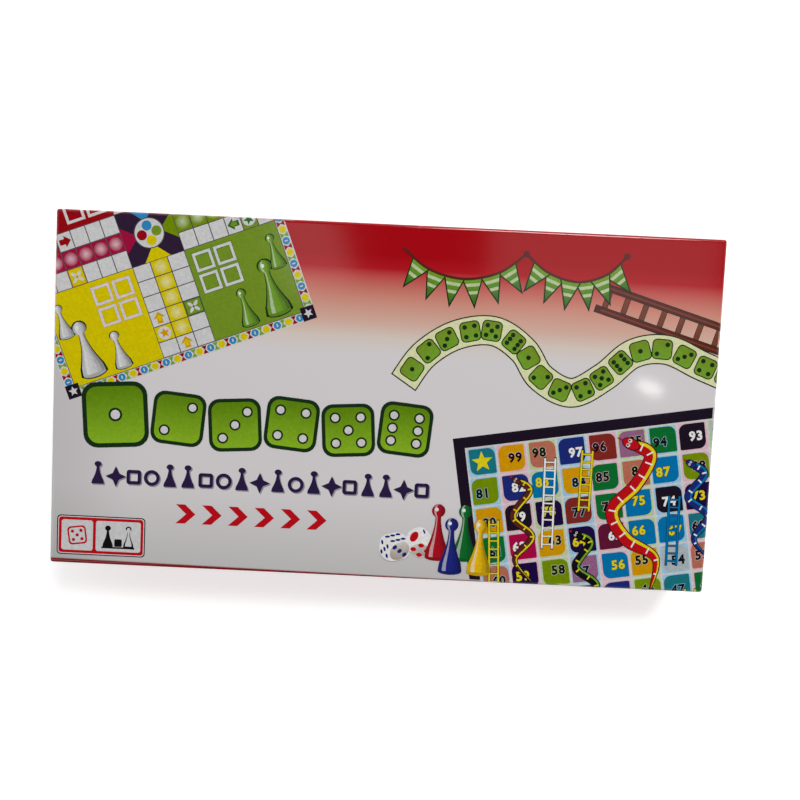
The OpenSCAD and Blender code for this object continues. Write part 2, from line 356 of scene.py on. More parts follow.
def star(points: int, outer: float, inner: float) -> BMesh:
    """Return a flat star with one point along +Y.

    Args:
        points: Number of its points.
        outer: Radius of the points.
        inner: Radius of the valleys.

    Returns:
        A mesh of one flat face.
    """
    figure = bmesh.new()
    bmesh.ops.create_circle(figure, cap_ends=True, segments=2 * points, radius=outer)
    valleys = list(figure.verts)[1::2]
    bmesh.ops.scale(figure, vec=(inner / outer, inner / outer, 1.0), verts=valleys)
    return figure


def polygon(points: Sequence[Point]) -> BMesh:
    """Return a flat figure.

    Args:
        points: Its corners in order.

    Returns:
        A mesh of one flat face.
    """
    figure = bmesh.new()
    figure.faces.new([figure.verts.new((x, y, 0.0)) for x, y in points])
    return figure


def strip(path: Sequence[Point], widths: Sequence[float], shift: float = 0.0) -> BMesh:
    """Return a ribbon that follows a path.

    Args:
        path: Points of the middle line.
        widths: Width at each point.
        shift: Sideways move of the ribbon, as a share of its local width.

    Returns:
        A flat mesh of quads between the two edges of the ribbon.
    """
    figure = bmesh.new()
    chains: list[list[BMVert]] = [[], []]
    for i, (x, y) in enumerate(path):
        before = Vector(path[max(i - 1, 0)])
        after = Vector(path[min(i + 1, len(path) - 1)])
        across = (after - before).normalized().orthogonal()
        for chain, side in zip(chains, (-0.5, 0.5)):
            at = Vector((x, y)) + across * (side + shift) * widths[i]
            chain.append(figure.verts.new((at.x, at.y, 0.0)))
    edges = [figure.edges.new(pair) for chain in chains for pair in zip(chain, chain[1:])]
    bmesh.ops.bridge_loops(figure, edges=edges)
    return figure


def bar(start: Point, end: Point, width: float) -> BMesh:
    """Return a straight bar from start to end."""
    return strip([start, end], [width, width])


def smooth_path(knots: Sequence[Point], steps: int = 10) -> list[Point]:
    """Return points on the smooth curve through the knots.

    Args:
        knots: Points that the curve passes through.
        steps: Points for each stretch between two knots.

    Returns:
        The points of a Catmull-Rom curve, both ends included.
    """
    points: list[Point] = []
    ends = [knots[0], *knots, knots[-1]]
    for a, b, c, d in zip(ends, ends[1:], ends[2:], ends[3:]):
        for i in range(steps):
            t = i / steps
            weights = (-t + 2 * t**2 - t**3, 2 - 5 * t**2 + 3 * t**3,
                       t + 4 * t**2 - 3 * t**3, t**3 - t**2)
            points.append(tuple(
                sum(w * p[k] for w, p in zip(weights, (a, b, c, d))) / 2 for k in (0, 1)
            ))
    return [*points, tuple(knots[-1])]


def heading(path: Sequence[Point], i: int) -> float:
    """Return the direction of a path.

    Args:
        path: Points of the path.
        i: Which of them.

    Returns:
        The direction at that point, in radians.
    """
    x0, y0 = path[max(i - 1, 0)]
    x1, y1 = path[min(i + 1, len(path) - 1)]
    return math.atan2(y1 - y0, x1 - x0)


@cache
def number_shape(digits: str, weight: float) -> bpy.types.Mesh:
    """Set a number one unit high about the origin.

    Args:
        digits: The figures of the number.
        weight: How far their outline is grown.

    Returns:
        A flat mesh of the number, made once.
    """
    cap_share = 0.73
    curve = bpy.data.curves.new("digits", "FONT")
    curve.body = digits
    curve.size = 1 / cap_share
    curve.offset = weight
    curve.space_character = 1.12
    curve.align_x = "CENTER"
    curve.align_y = "CENTER"
    curve.resolution_u = 2
    setting = placed("digits", curve)
    depsgraph = bpy.context.evaluated_depsgraph_get()
    shape = bpy.data.meshes.new_from_object(setting.evaluated_get(depsgraph))
    bpy.data.objects.remove(setting)
    bpy.data.curves.remove(curve)
    return shape


def number(digits: str, height: float, weight: float) -> BMesh:
    """Return a number about the origin.

    Args:
        digits: The figures of the number.
        height: Height of a figure.
        weight: How far the outline is grown, as a share of the height.

    Returns:
        A flat mesh of the number.
    """
    figure = bmesh.new()
    figure.from_mesh(number_shape(digits, weight))
    bmesh.ops.scale(figure, vec=(height, height, 1.0), verts=figure.verts)
    return figure


@dataclass(frozen=True)
class Crease:
    """A rounded edge that a print runs over.

    Attributes:
        axis: 0 where the edge crosses X, 1 where it crosses Y.
        side: Which end of that axis, -1 or 1.
        start: Distance from the sheet's centre at which the round begins, mm.
        radius: Radius of the round, mm.
        scores: Parts that the round is scored into.
    """

    axis: int
    side: int
    start: float
    radius: float
    scores: int = 3

    def normal(self) -> Vector:
        """Return the direction across the edge, outwards."""
        return Vector((self.side, 0, 0)) if self.axis == 0 else Vector((0, self.side, 0))

    def trim(self, figure: BMesh) -> None:
        """Cut off what lies past the round and score what lies on it.

        Args:
            figure: The figure, in the sheet's millimetres.
        """
        arc = self.radius * QUARTER
        past = max((vert.co[self.axis] * self.side for vert in figure.verts), default=0)
        if past <= self.start:
            return
        for score in range(self.scores, -1, -1):
            at = self.normal() * (self.start + arc * score / self.scores)
            slice_off(figure, at, self.normal(), clear=score == self.scores)

    def bend(self, figure: BMesh) -> None:
        """Lay what runs over the edge down along its round.

        Args:
            figure: The figure, in the sheet's millimetres.
        """
        for vert in figure.verts:
            over = vert.co[self.axis] * self.side - self.start
            if over > 0:
                angle = min(over / self.radius, QUARTER)
                reach = self.radius + vert.co.z
                vert.co[self.axis] = self.side * (self.start + reach * math.sin(angle))
                vert.co.z = reach * math.cos(angle) - self.radius


@dataclass(frozen=True)
class Cut:
    """A straight cut through a sheet: what lies past it is dropped."""

    at: Vector
    outward: Vector


class Press:
    """Prints one sheet out of thin closed figures, laid one on another."""

    def __init__(self, to_frame: Matrix, layer: float, creases: Sequence[Crease] = (),
                 cuts: Sequence[Cut] = ()) -> None:
        """Set up an empty sheet.

        Args:
            to_frame: From the sheet's millimetres to the frame's metres.
            layer: Thickness of one layer of ink, mm.
            creases: Rounded edges that the print runs over.
            cuts: Straight cuts.
        """
        self.to_frame = to_frame
        self.layer = layer
        self.creases = creases
        self.cuts = cuts
        self.sheet = bmesh.new()
        self.sheet.loops.layers.float_color.new("ink")
        self.carrier = bpy.data.meshes.new("carrier")

    def lay(self, figure: BMesh, tint: Tint, level: int, place: Matrix) -> None:
        """Print one figure.

        Args:
            figure: A flat mesh, which is used up.
            tint: Its colour or its fade.
            level: Its place in the stack, 0 at the bottom.
            place: Where it goes, in the sheet's millimetres.
        """
        bmesh.ops.transform(figure, matrix=place, verts=figure.verts)
        for cut in self.cuts:
            slice_off(figure, cut.at, cut.outward)
        for crease in self.creases:
            crease.trim(figure)
        if figure.faces:
            grown = bmesh.ops.extrude_face_region(figure, geom=figure.faces[:],
                                                  use_keep_orig=True)
            top = [part for part in grown["geom"] if isinstance(part, BMVert)]
            bmesh.ops.translate(figure, vec=(0, 0, self.layer), verts=top)
            self._colour(figure, tint, place.inverted())
            self._settle(figure, level)
            figure.to_mesh(self.carrier)
            self.sheet.from_mesh(self.carrier)
        figure.free()

    @staticmethod
    def _colour(figure: BMesh, tint: Tint, to_figure: Matrix) -> None:
        """Write a tint on every corner of a figure.

        Args:
            figure: The figure, in the sheet's millimetres.
            tint: Its colour or its fade.
            to_figure: From the sheet to the figure's own units.
        """
        colour = figure.loops.layers.float_color.new("ink")
        even = tint.rgba if isinstance(tint, Ink) else None
        for face in figure.faces:
            for corner in face.loops:
                corner[colour] = even or tint.at(to_figure @ corner.vert.co)

    def _settle(self, figure: BMesh, level: int) -> None:
        """Raise a figure to its level, bend it over the creases and place it.

        Args:
            figure: The figure, in the sheet's millimetres.
            level: Its place in the stack.
        """
        bmesh.ops.translate(figure, vec=(0, 0, self.layer * level), verts=figure.verts)
        for crease in self.creases:
            crease.bend(figure)
        bmesh.ops.transform(figure, matrix=self.to_frame, verts=figure.verts)
        bmesh.ops.recalc_face_normals(figure, faces=figure.faces[:])


@dataclass
class Stencil:
    """A place on a sheet where figures are drawn in their own units."""

    press: Press
    place: Matrix = field(default_factory=lambda: Matrix.Identity(4))
    level: int = 0

    def put(self, figure: BMesh, tint: Tint, level: int, x: float = 0.0, y: float = 0.0,
            turn: float = 0.0) -> None:
        """Print a figure at x, y, turned by turn radians, on the given level."""
        self.press.lay(figure, tint, self.level + level, self.place @ flat_place(x, y, turn))

    def moved(self, x: float = 0.0, y: float = 0.0, turn: float = 0.0, scale: float = 1.0,
              level: int = 0) -> Self:
        """Return a stencil at another place on this one."""
        place = self.place @ flat_place(x, y, turn, scale)
        return Stencil(self.press, place, self.level + level)


@dataclass(frozen=True)
class PawnShape:
    """Outline of a pawn, in shares of its height.

    Attributes:
        foot: Radius of the foot.
        band: Radius at the top of the foot's band.
        band_top: Height of the band.
        neck: Radius of the neck.
        neck_top: Height of the neck.
        head: Radius of the head.
        bevel: Bevel of the foot.
        waist_power: Power of the waist's curve.
        waist_steps: Steps of that curve.
        head_steps: Steps of the head's round.
    """

    foot: float = 5.2 / 23.5
    band: float = 4.7 / 23.5
    band_top: float = 3.7 / 23.5
    neck: float = 1.2 / 23.5
    neck_top: float = 17.2 / 23.5
    head: float = 2.9 / 23.5
    bevel: float = 0.4 / 23.5
    waist_power: float = 1.7
    waist_steps: int = 14
    head_steps: int = 12

    def half(self) -> list[Point]:
        """Return the outline's right half.

        Returns:
            Its points from foot to crown, in shares of the height.
        """
        points = [(self.foot - self.bevel, 0.0), (self.foot, self.bevel)]
        for i in range(self.waist_steps + 1):
            share = i / self.waist_steps
            radius = self.neck + (self.band - self.neck) * (1 - share) ** self.waist_power
            points.append((radius, self.band_top + (self.neck_top - self.band_top) * share))
        centre = 1 - self.head
        start = math.asin(self.neck / self.head)
        for i in range(self.head_steps):
            angle = start + (math.pi - start) * i / self.head_steps
            points.append((self.head * math.sin(angle), centre - self.head * math.cos(angle)))
        return points

    def silhouette(self, height: float, slim: float = 1.0, shift: float = 0.0) -> BMesh:
        """Return the flat outline, standing on the origin.

        Args:
            height: Height of the figure.
            slim: Share of the width.
            shift: Sideways move, as a share of the local width.

        Returns:
            A flat mesh of quads.
        """
        half = self.half()
        path = [(0.0, y * height) for _, y in half] + [(0.0, height)]
        widths = [2 * x * height * slim for x, _ in half] + [0.02 * height]
        return strip(path, widths, shift)

    def picture(self, art: Stencil, tall: float, tint: Tint, edge: Ink | None) -> None:
        """Print a standing pawn, lit from the left, on levels 0 to 3.

        Args:
            art: Where its foot stands.
            tall: Its height.
            tint: Its colour.
            edge: Colour of its outline, if it has one.
        """
        if edge:
            art.put(self.silhouette(tall * 1.05, 1.14), edge, 0, 0.0, -0.025 * tall)
            art.put(disc(self.foot * tall * 1.1, 24, 0.36), edge, 0)
        art.put(disc(self.foot * tall, 24, 0.3), Blend(tint, Ink.BLACK, 0.35), 1)
        tones = ((Ink.BLACK, 0.55), (Ink.BLACK, 0.3), (Ink.BLACK, 0.08), (tint, 0.0),
                 (Ink.LIGHT, 0.4), (Ink.BLACK, 0.2))
        for i, (ink, share) in enumerate(tones):
            shift = i - (len(tones) - 1) / 2
            art.put(self.silhouette(tall, 1 / len(tones), shift), Blend(tint, ink, share), 2)
        art.put(disc(0.035 * tall, 12), Ink.LIGHT, 3, -0.035 * tall, 0.9 * tall)


PAWN = PawnShape()


class PipCount(Enum):
    """Places of the pips on a die's face, in shares of their spread."""

    ONE = ((0, 0),)
    TWO = ((-1, -1), (1, 1))
    THREE = ((-1, -1), (0, 0), (1, 1))
    FOUR = ((-1, -1), (-1, 1), (1, -1), (1, 1))
    FIVE = ((-1, -1), (-1, 1), (0, 0), (1, -1), (1, 1))
    SIX = ((-1, -1), (-1, 0), (-1, 1), (1, -1), (1, 0), (1, 1))


@dataclass(frozen=True)
class PicturedDie:
    """A rounded die as it looks from a corner.

    Attributes:
        at: Its middle, mm.
        sides: Its three sides as they look on paper, mm, clockwise.
        shaded: The two sides that the shaded face lies between.
        faces: Each face in sight: its two sides, its place along the third as a
            share of that, its pips and their ink.
        corner: Radius of its corners, mm.
        shade_drop: How far its dark edge sinks below it, mm.
        pip_spread: Distance between pips, as a share of a side.
        pip_size: Radius of most pips, as a share of a side.
    """

    at: Point
    sides: tuple[Point, Point, Point]
    shaded: tuple[int, int]
    faces: tuple[tuple[int, int, float, PipCount, Ink], ...]
    corner: float = 1.7
    shade_drop: float = 0.18
    pip_spread: float = 0.26
    pip_size: float = 0.115

    def draw(self, art: Stencil) -> None:
        """Print the die on levels 0 to 3.

        Args:
            art: Where its middle lies.
        """
        a, b, c = (Vector(side) for side in self.sides)
        first = -(a + b + c) / 2
        rim = [first, first + a, first + a + b]
        for ink, level, drop in ((Ink.DIE_SHADE, 0, self.shade_drop), (Ink.LIGHT, 1, 0.0)):
            outline = polygon([*rim, *(-corner for corner in rim)])
            round_off(outline, outline.verts[:], self.corner)
            art.put(outline, ink, level, 0.0, -drop)
        shade = Fade(Ink.DIE_LIGHT, Ink.DIE_SHADE, -0.6, 0.1)
        for one, two, out, pips, ink in self.faces:
            u, v, w = (self.sides[k] for k in (one, two, 3 - one - two))
            shear = Matrix(((u[0], v[0], 0), (u[1], v[1], 0), (0, 0, 1))).to_4x4()
            place = art.place @ Matrix.Translation((w[0] * out, w[1] * out, 0)) @ shear
            part = Stencil(art.press, place, art.level)
            if (one, two) == self.shaded:
                part.put(tile(0.96, 0.96, 0.44), shade, 2)
            size = {PipCount.ONE: 0.29, PipCount.FOUR: 0.16}.get(pips, self.pip_size)
            for px, py in pips.value:
                part.put(disc(size, 20), ink, 3, self.pip_spread * px, self.pip_spread * py)


PICTURED_DICE = (
    PicturedDie((12.26, -39.89), ((4.25, 2.27), (3.36, -3.1), (0.42, -4.71)), (0, 1), (
        (0, 1, 0.5, PipCount.FOUR, Ink.SCARLET), (0, 2, -0.5, PipCount.ONE, Ink.SCARLET),
        (1, 2, 0.5, PipCount.TWO, Ink.ROYAL),
    )),
    PicturedDie((5.02, -41.57), ((5.75, 1.57), (3.03, -2.37), (-0.23, -5.34)), (0, 2), (
        (1, 0, -0.5, PipCount.SIX, Ink.ROYAL), (1, 2, -0.5, PipCount.FIVE, Ink.ROYAL),
        (0, 2, 0.5, PipCount.THREE, Ink.ROYAL),
    )),
)


@dataclass(frozen=True)
class SideColours:
    """Inks of one player's side of a ludo board.

    Attributes:
        yard: Ground of the yard.
        lane: Cells of the lane home.
        glow: Paler middle of those cells.
        mark: Squares of the yard, arrows and star.
        pawn: Pawns in the yard.
    """

    yard: Ink
    lane: Ink
    glow: Ink
    mark: Ink
    pawn: Ink


@dataclass(frozen=True)
class LudoArt:
    """A traditional ludo board, drawn in cells about its centre.

    Attributes:
        half: Half of the field's side.
        border: Width of the border.
        column: Width of a lane's cell with its line.
        line: Width of the line between cells.
        lane_cells: Cells of a lane, from the middle square to the border.
        corner: Side of the square at each corner of the border.
        chain_links: Links along one side of the border.
        chain_inks: Inks of the links in turn.
        yard_square: Side of each square in a yard.
        yard_stroke: Width of its line.
        yard_spread: Half the distance between two of them.
        squares_at: Distance of their middle from the board's.
        arrow_cells: Column and step of the cells with an arrow.
        start_cell: Column and step of the cell with a star.
        rest_cell: Column and step of the cell with a flower.
        middle_disc: Radius of the disc in the middle square.
        sides: Colours of the players, from the lower left, against the clock.
        squads: Place and height of the pawns in each yard.
    """

    half: float = 7.5
    border: float = 0.6
    column: float = 1.12
    line: float = 0.06
    lane_cells: int = 6
    corner: float = 0.85
    chain_links: int = 40
    chain_inks: tuple[Ink, ...] = (Ink.LEAF, Ink.YELLOW, Ink.CARD_RED, Ink.SKY)
    yard_square: float = 1.24
    yard_stroke: float = 0.23
    yard_spread: float = 0.68
    squares_at: float = 3.3
    arrow_cells: tuple[tuple[int, int], ...] = ((-1, 4), (0, 6))
    start_cell: tuple[int, int] = (-1, 5)
    rest_cell: tuple[int, int] = (1, 4)
    middle_disc: float = 0.95
    sides: tuple[SideColours, ...] = (
        SideColours(Ink.YELLOW, Ink.YELLOW, Ink.YELLOW_PALE, Ink.AMBER, Ink.WHITE),
        SideColours(Ink.GREEN, Ink.LIME, Ink.GREEN_PALE, Ink.LEAF_DEEP, Ink.LEAF),
        SideColours(Ink.SKY, Ink.SKY, Ink.SKY_PALE, Ink.ROYAL, Ink.WHITE),
        SideColours(Ink.CARD_RED, Ink.CRIMSON, Ink.PINK_PALE, Ink.CARD_RED, Ink.LEMON),
    )
    squads: tuple[tuple[Triple, ...], ...] = (
        ((-1.45, -2.45, 3.3), (0.45, -2.6, 2.2), (-2.3, 0.2, 2.0)),
        ((1.45, -2.45, 3.3), (-0.45, -2.6, 2.2), (2.3, 0.2, 2.0)),
        ((1.45, -0.65, 3.3), (-0.45, 0.5, 2.2), (2.3, -2.7, 2.0)),
        ((-1.45, -0.65, 3.3), (0.45, 0.5, 2.2), (-2.3, -2.7, 2.0)),
    )

    def draw(self, art: Stencil) -> None:
        """Print the board on levels 0 to 8.

        Args:
            art: Stencil about the board's centre, in cells.
        """
        outer = self.half + self.border
        art.put(tile(2 * outer, 2 * outer), Ink.WHITE, 0)
        field_side = 2 * self.half + self.line
        art.put(tile(field_side, field_side), Ink.KEY_LINE, 1)
        for quarter, colours in enumerate(self.sides):
            side = art.moved(turn=quarter * QUARTER)
            following = self.sides[(quarter + 1) % len(self.sides)]
            self._yard(side, colours, quarter)
            self._lane(side, colours, following)
            self._chain(side)
        self._home(art)

    @property
    def home(self) -> float:
        """Return half the side of the middle square."""
        return 1.5 * self.column

    @property
    def row(self) -> float:
        """Return the height of a lane's cell with its line."""
        return (self.half - self.home) / self.lane_cells

    def _cell(self) -> BMesh:
        """Return one cell of a lane."""
        return tile(self.column - self.line, self.row - self.line)

    def _spot(self, column: int, step: int) -> Point:
        """Return the middle of a cell, counted outwards from the middle square."""
        return column * self.column, -self.home - (step - 0.5) * self.row

    def _yard(self, side: Stencil, colours: SideColours, quarter: int) -> None:
        """Print one player's yard with its four squares and three pawns.

        Args:
            side: The board, turned so that the yard is at the lower left.
            colours: The player's inks.
            quarter: Quarter turns of the board.
        """
        middle = -(self.half + self.home) / 2
        length = self.half - self.home - self.line / 2
        side.put(tile(length, length), colours.yard, 2, middle, middle)
        spots = (-self.squares_at - self.yard_spread, -self.squares_at + self.yard_spread)
        for place in ((x, y) for x in spots for y in spots):
            for ink, level, less in ((colours.mark, 3, 0.0), (Ink.WHITE, 4, self.line)):
                size = self.yard_square - less
                square = hollowed(tile(size, size), self.yard_stroke - less)
                side.put(square, ink, level, *place)
        corner = side.moved(middle, middle, -quarter * QUARTER)
        for x, y, tall in self.squads[quarter]:
            PAWN.picture(corner.moved(x, y, level=3), tall, colours.pawn, Ink.PINE)

    def _lane(self, side: Stencil, colours: SideColours, other: SideColours) -> None:
        """Print one arm of the cross: its lane home and the cells beside it.

        Args:
            side: The board, turned so that the arm points down.
            colours: The player's inks.
            other: Inks of the next player.
        """
        glow = Fade(colours.glow, colours.lane, 0.08, 0.45, outwards=True)
        for step in range(1, self.lane_cells + 1):
            for column in (-1, 0, 1):
                home = column == 0 and step < self.lane_cells
                at = self._spot(column, step)
                side.put(self._cell(), colours.lane if home else Ink.WHITE, 2, *at)
                if home:
                    side.put(disc(0.45, 20, fan=True), glow, 3, *at)
        for cell in self.arrow_cells:
            at = self._spot(*cell)
            side.put(self._arrow(), colours.mark, 3, *at)
            side.put(self._arrow(0.6), colours.yard, 4, *at)
        at = self._spot(*self.start_cell)
        side.put(self._cell(), colours.yard, 3, *at)
        side.put(disc(0.4), Ink.WHITE, 4, *at)
        side.put(star(5, 0.34, 0.15), colours.mark, 5, *at)
        rest = side.moved(*self._spot(*self.rest_cell))
        rest.put(self._cell(), other.mark, 3)
        rest.put(tile(self.column - 0.14, self.row - 0.14), other.yard, 4)
        for petal in range(4):
            turn = QUARTER * petal + QUARTER / 2
            rest.put(disc(0.2, 14, 0.5), Ink.WHITE, 5, 0.24 * math.cos(turn),
                     0.24 * math.sin(turn), turn)
        rest.put(disc(0.07, 10), other.mark, 5)

    @staticmethod
    def _arrow(size: float = 1.0) -> BMesh:
        """Return an arrow that points along +Y inside one cell.

        Args:
            size: Share of its full size.

        Returns:
            A mesh of one flat face.
        """
        outline = ((-0.17, -0.34), (0.17, -0.34), (0.17, 0.0), (0.37, 0.0), (0.0, 0.39),
                   (-0.37, 0.0), (-0.17, 0.0))
        return polygon([(x * size, y * size) for x, y in outline])

    def _chain(self, side: Stencil) -> None:
        """Print one side of the border: small links and a starred corner.

        Args:
            side: The board, turned so that the side is at the bottom.
        """
        edge = -(self.half + self.border / 2)
        start = self.corner - self.half - self.border
        span = -2 * start / self.chain_links
        for link in range(self.chain_links):
            x = start + span * (link + 0.5)
            ink = self.chain_inks[link % len(self.chain_inks)]
            if link % 2 == 0:
                for flip in (-1, 1):
                    bow = [(-0.17, 0.24 * flip), (0.0, -0.03 * flip), (0.17, 0.24 * flip)]
                    side.put(polygon(bow), ink, 1, x, edge)
            elif ink is Ink.SKY:
                side.put(disc(0.23, 14), ink, 1, x, edge)
                side.put(tile(0.08, 0.2), Ink.WHITE, 2, x, edge)
            else:
                side.put(star(8, 0.27, 0.19), ink, 1, x, edge)
        at = start - self.corner / 2
        side.put(tile(self.corner, self.corner), Ink.NAVY, 7, at, at)
        side.put(star(5, 0.31, 0.14), Ink.WHITE, 8, at, at)

    def _home(self, art: Stencil) -> None:
        """Print the middle square.

        Args:
            art: Stencil about the board's centre, in cells.
        """
        side = 2 * self.home - self.line / 3
        art.put(tile(side, side), Ink.HOME_PURPLE, 2)
        for quarter, colours in enumerate(self.sides):
            turned = art.moved(turn=quarter * QUARTER)
            base = -side / 2
            turned.put(polygon([(-0.82, base), (0.82, base), (0.0, -0.7)]), colours.lane, 3)
            turned.put(disc(0.31, 20), colours.yard, 6, 0.0, -0.47)
        art.put(disc(self.middle_disc, 36), Ink.KEY_LINE, 4)
        art.put(disc(self.middle_disc - self.line, 36), Ink.WHITE, 5)


@dataclass(frozen=True)
class LadderLines:
    """Middle lines of a drawn ladder.

    Attributes:
        foot: Middle of its foot.
        top: Middle of its top.
        half: Half the distance between its rails.
    """

    foot: Vector
    top: Vector
    half: float

    @property
    def along(self) -> Vector:
        """Return the direction from the foot to the top."""
        return (self.top - self.foot).normalized()

    def rungs(self, count: int, lead: float = 0.5) -> list[tuple[Vector, Vector]]:
        """Return the rungs from the foot up.

        Args:
            count: Their number.
            lead: Place of the first, as a share of the distance between two.

        Returns:
            Both ends of each rung.
        """
        across = self.along.orthogonal() * self.half
        middles = [self.foot.lerp(self.top, (i + lead) / count) for i in range(count)]
        return [(middle - across, middle + across) for middle in middles]

    def rails(self, low: float = 0.0, high: float = 0.0) -> list[tuple[Vector, Vector]]:
        """Return both rails.

        Args:
            low: How far they run past the foot.
            high: How far they run past the top.

        Returns:
            Both ends of each rail.
        """
        across = self.along.orthogonal() * self.half
        return [(self.foot + across * side - self.along * low,
                 self.top + across * side + self.along * high) for side in (-1, 1)]


@dataclass(frozen=True)
class Snake:
    """One snake of the board.

    Attributes:
        knots: Its path from head to tail, in cells from the lower left.
        width: Its thickness, in cells.
        skin: Ink of its body.
        belly: Ink of the stripe along it.
        band: Ink of the bands across it.
    """

    knots: tuple[Point, ...]
    width: float
    skin: Ink
    belly: Ink
    band: Ink


@dataclass(frozen=True)
class Ladder:
    """One ladder of the board.

    Attributes:
        foot: Where it stands, in cells from the lower left.
        top: Where it ends.
        rails: Ink of its rails and rungs.
        width: Distance between its rails, in cells.
    """

    foot: Point
    top: Point
    rails: Ink
    width: float = 0.34


SNAKES = (
    Snake(((5.45, 9.5), (6.05, 9.05), (5.5, 8.15), (4.6, 7.35), (4.95, 6.35), (5.85, 5.6),
           (5.6, 4.6)), 0.4, Ink.SCARLET, Ink.LEMON, Ink.LIGHT),
    Snake(((1.55, 8.75), (1.95, 8.35), (1.3, 7.55), (1.85, 6.8), (1.2, 6.1), (1.65, 5.3)),
          0.2, Ink.BARK, Ink.LEMON, Ink.LEMON),
    Snake(((3.35, 6.7), (3.75, 6.35), (3.2, 5.6), (3.8, 4.9), (3.3, 4.1), (3.7, 3.4)),
          0.24, Ink.BLACK, Ink.LEAF, Ink.LEMON),
    Snake(((7.35, 8.6), (7.75, 8.2), (7.15, 7.5), (7.75, 6.8), (7.2, 6.1), (7.5, 5.5)),
          0.24, Ink.ROYAL, Ink.CYAN, Ink.LIGHT),
    Snake(((4.6, 4.2), (5.0, 3.9), (4.5, 3.2), (5.2, 2.5), (4.8, 1.8), (5.5, 1.3)),
          0.26, Ink.EMERALD, Ink.LEMON, Ink.BLACK),
    Snake(((8.3, 3.75), (8.7, 3.4), (8.2, 2.5), (8.9, 1.7), (8.4, 0.8)),
          0.28, Ink.ORANGE, Ink.LEMON, Ink.MAROON),
    Snake(((2.6, 2.7), (2.95, 2.4), (2.4, 1.6), (2.9, 0.6)),
          0.24, Ink.PLUM, Ink.MAGENTA, Ink.LIGHT),
)
LADDERS = (
    Ladder((2.3, 6.35), (2.75, 9.35), Ink.LIGHT),
    Ladder((3.65, 7.45), (4.0, 9.45), Ink.LEMON),
    Ladder((0.4, 5.3), (0.65, 7.5), Ink.LEMON, 0.3),
    Ladder((6.35, 5.3), (6.7, 7.6), Ink.CYAN),
    Ladder((8.75, 5.4), (8.95, 8.4), Ink.LIGHT),
    Ladder((1.5, 0.4), (1.2, 3.6), Ink.ORANGE),
    Ladder((6.5, 1.3), (6.9, 4.4), Ink.LEMON),
    Ladder((7.2, 0.3), (7.5, 1.6), Ink.CYAN),
)


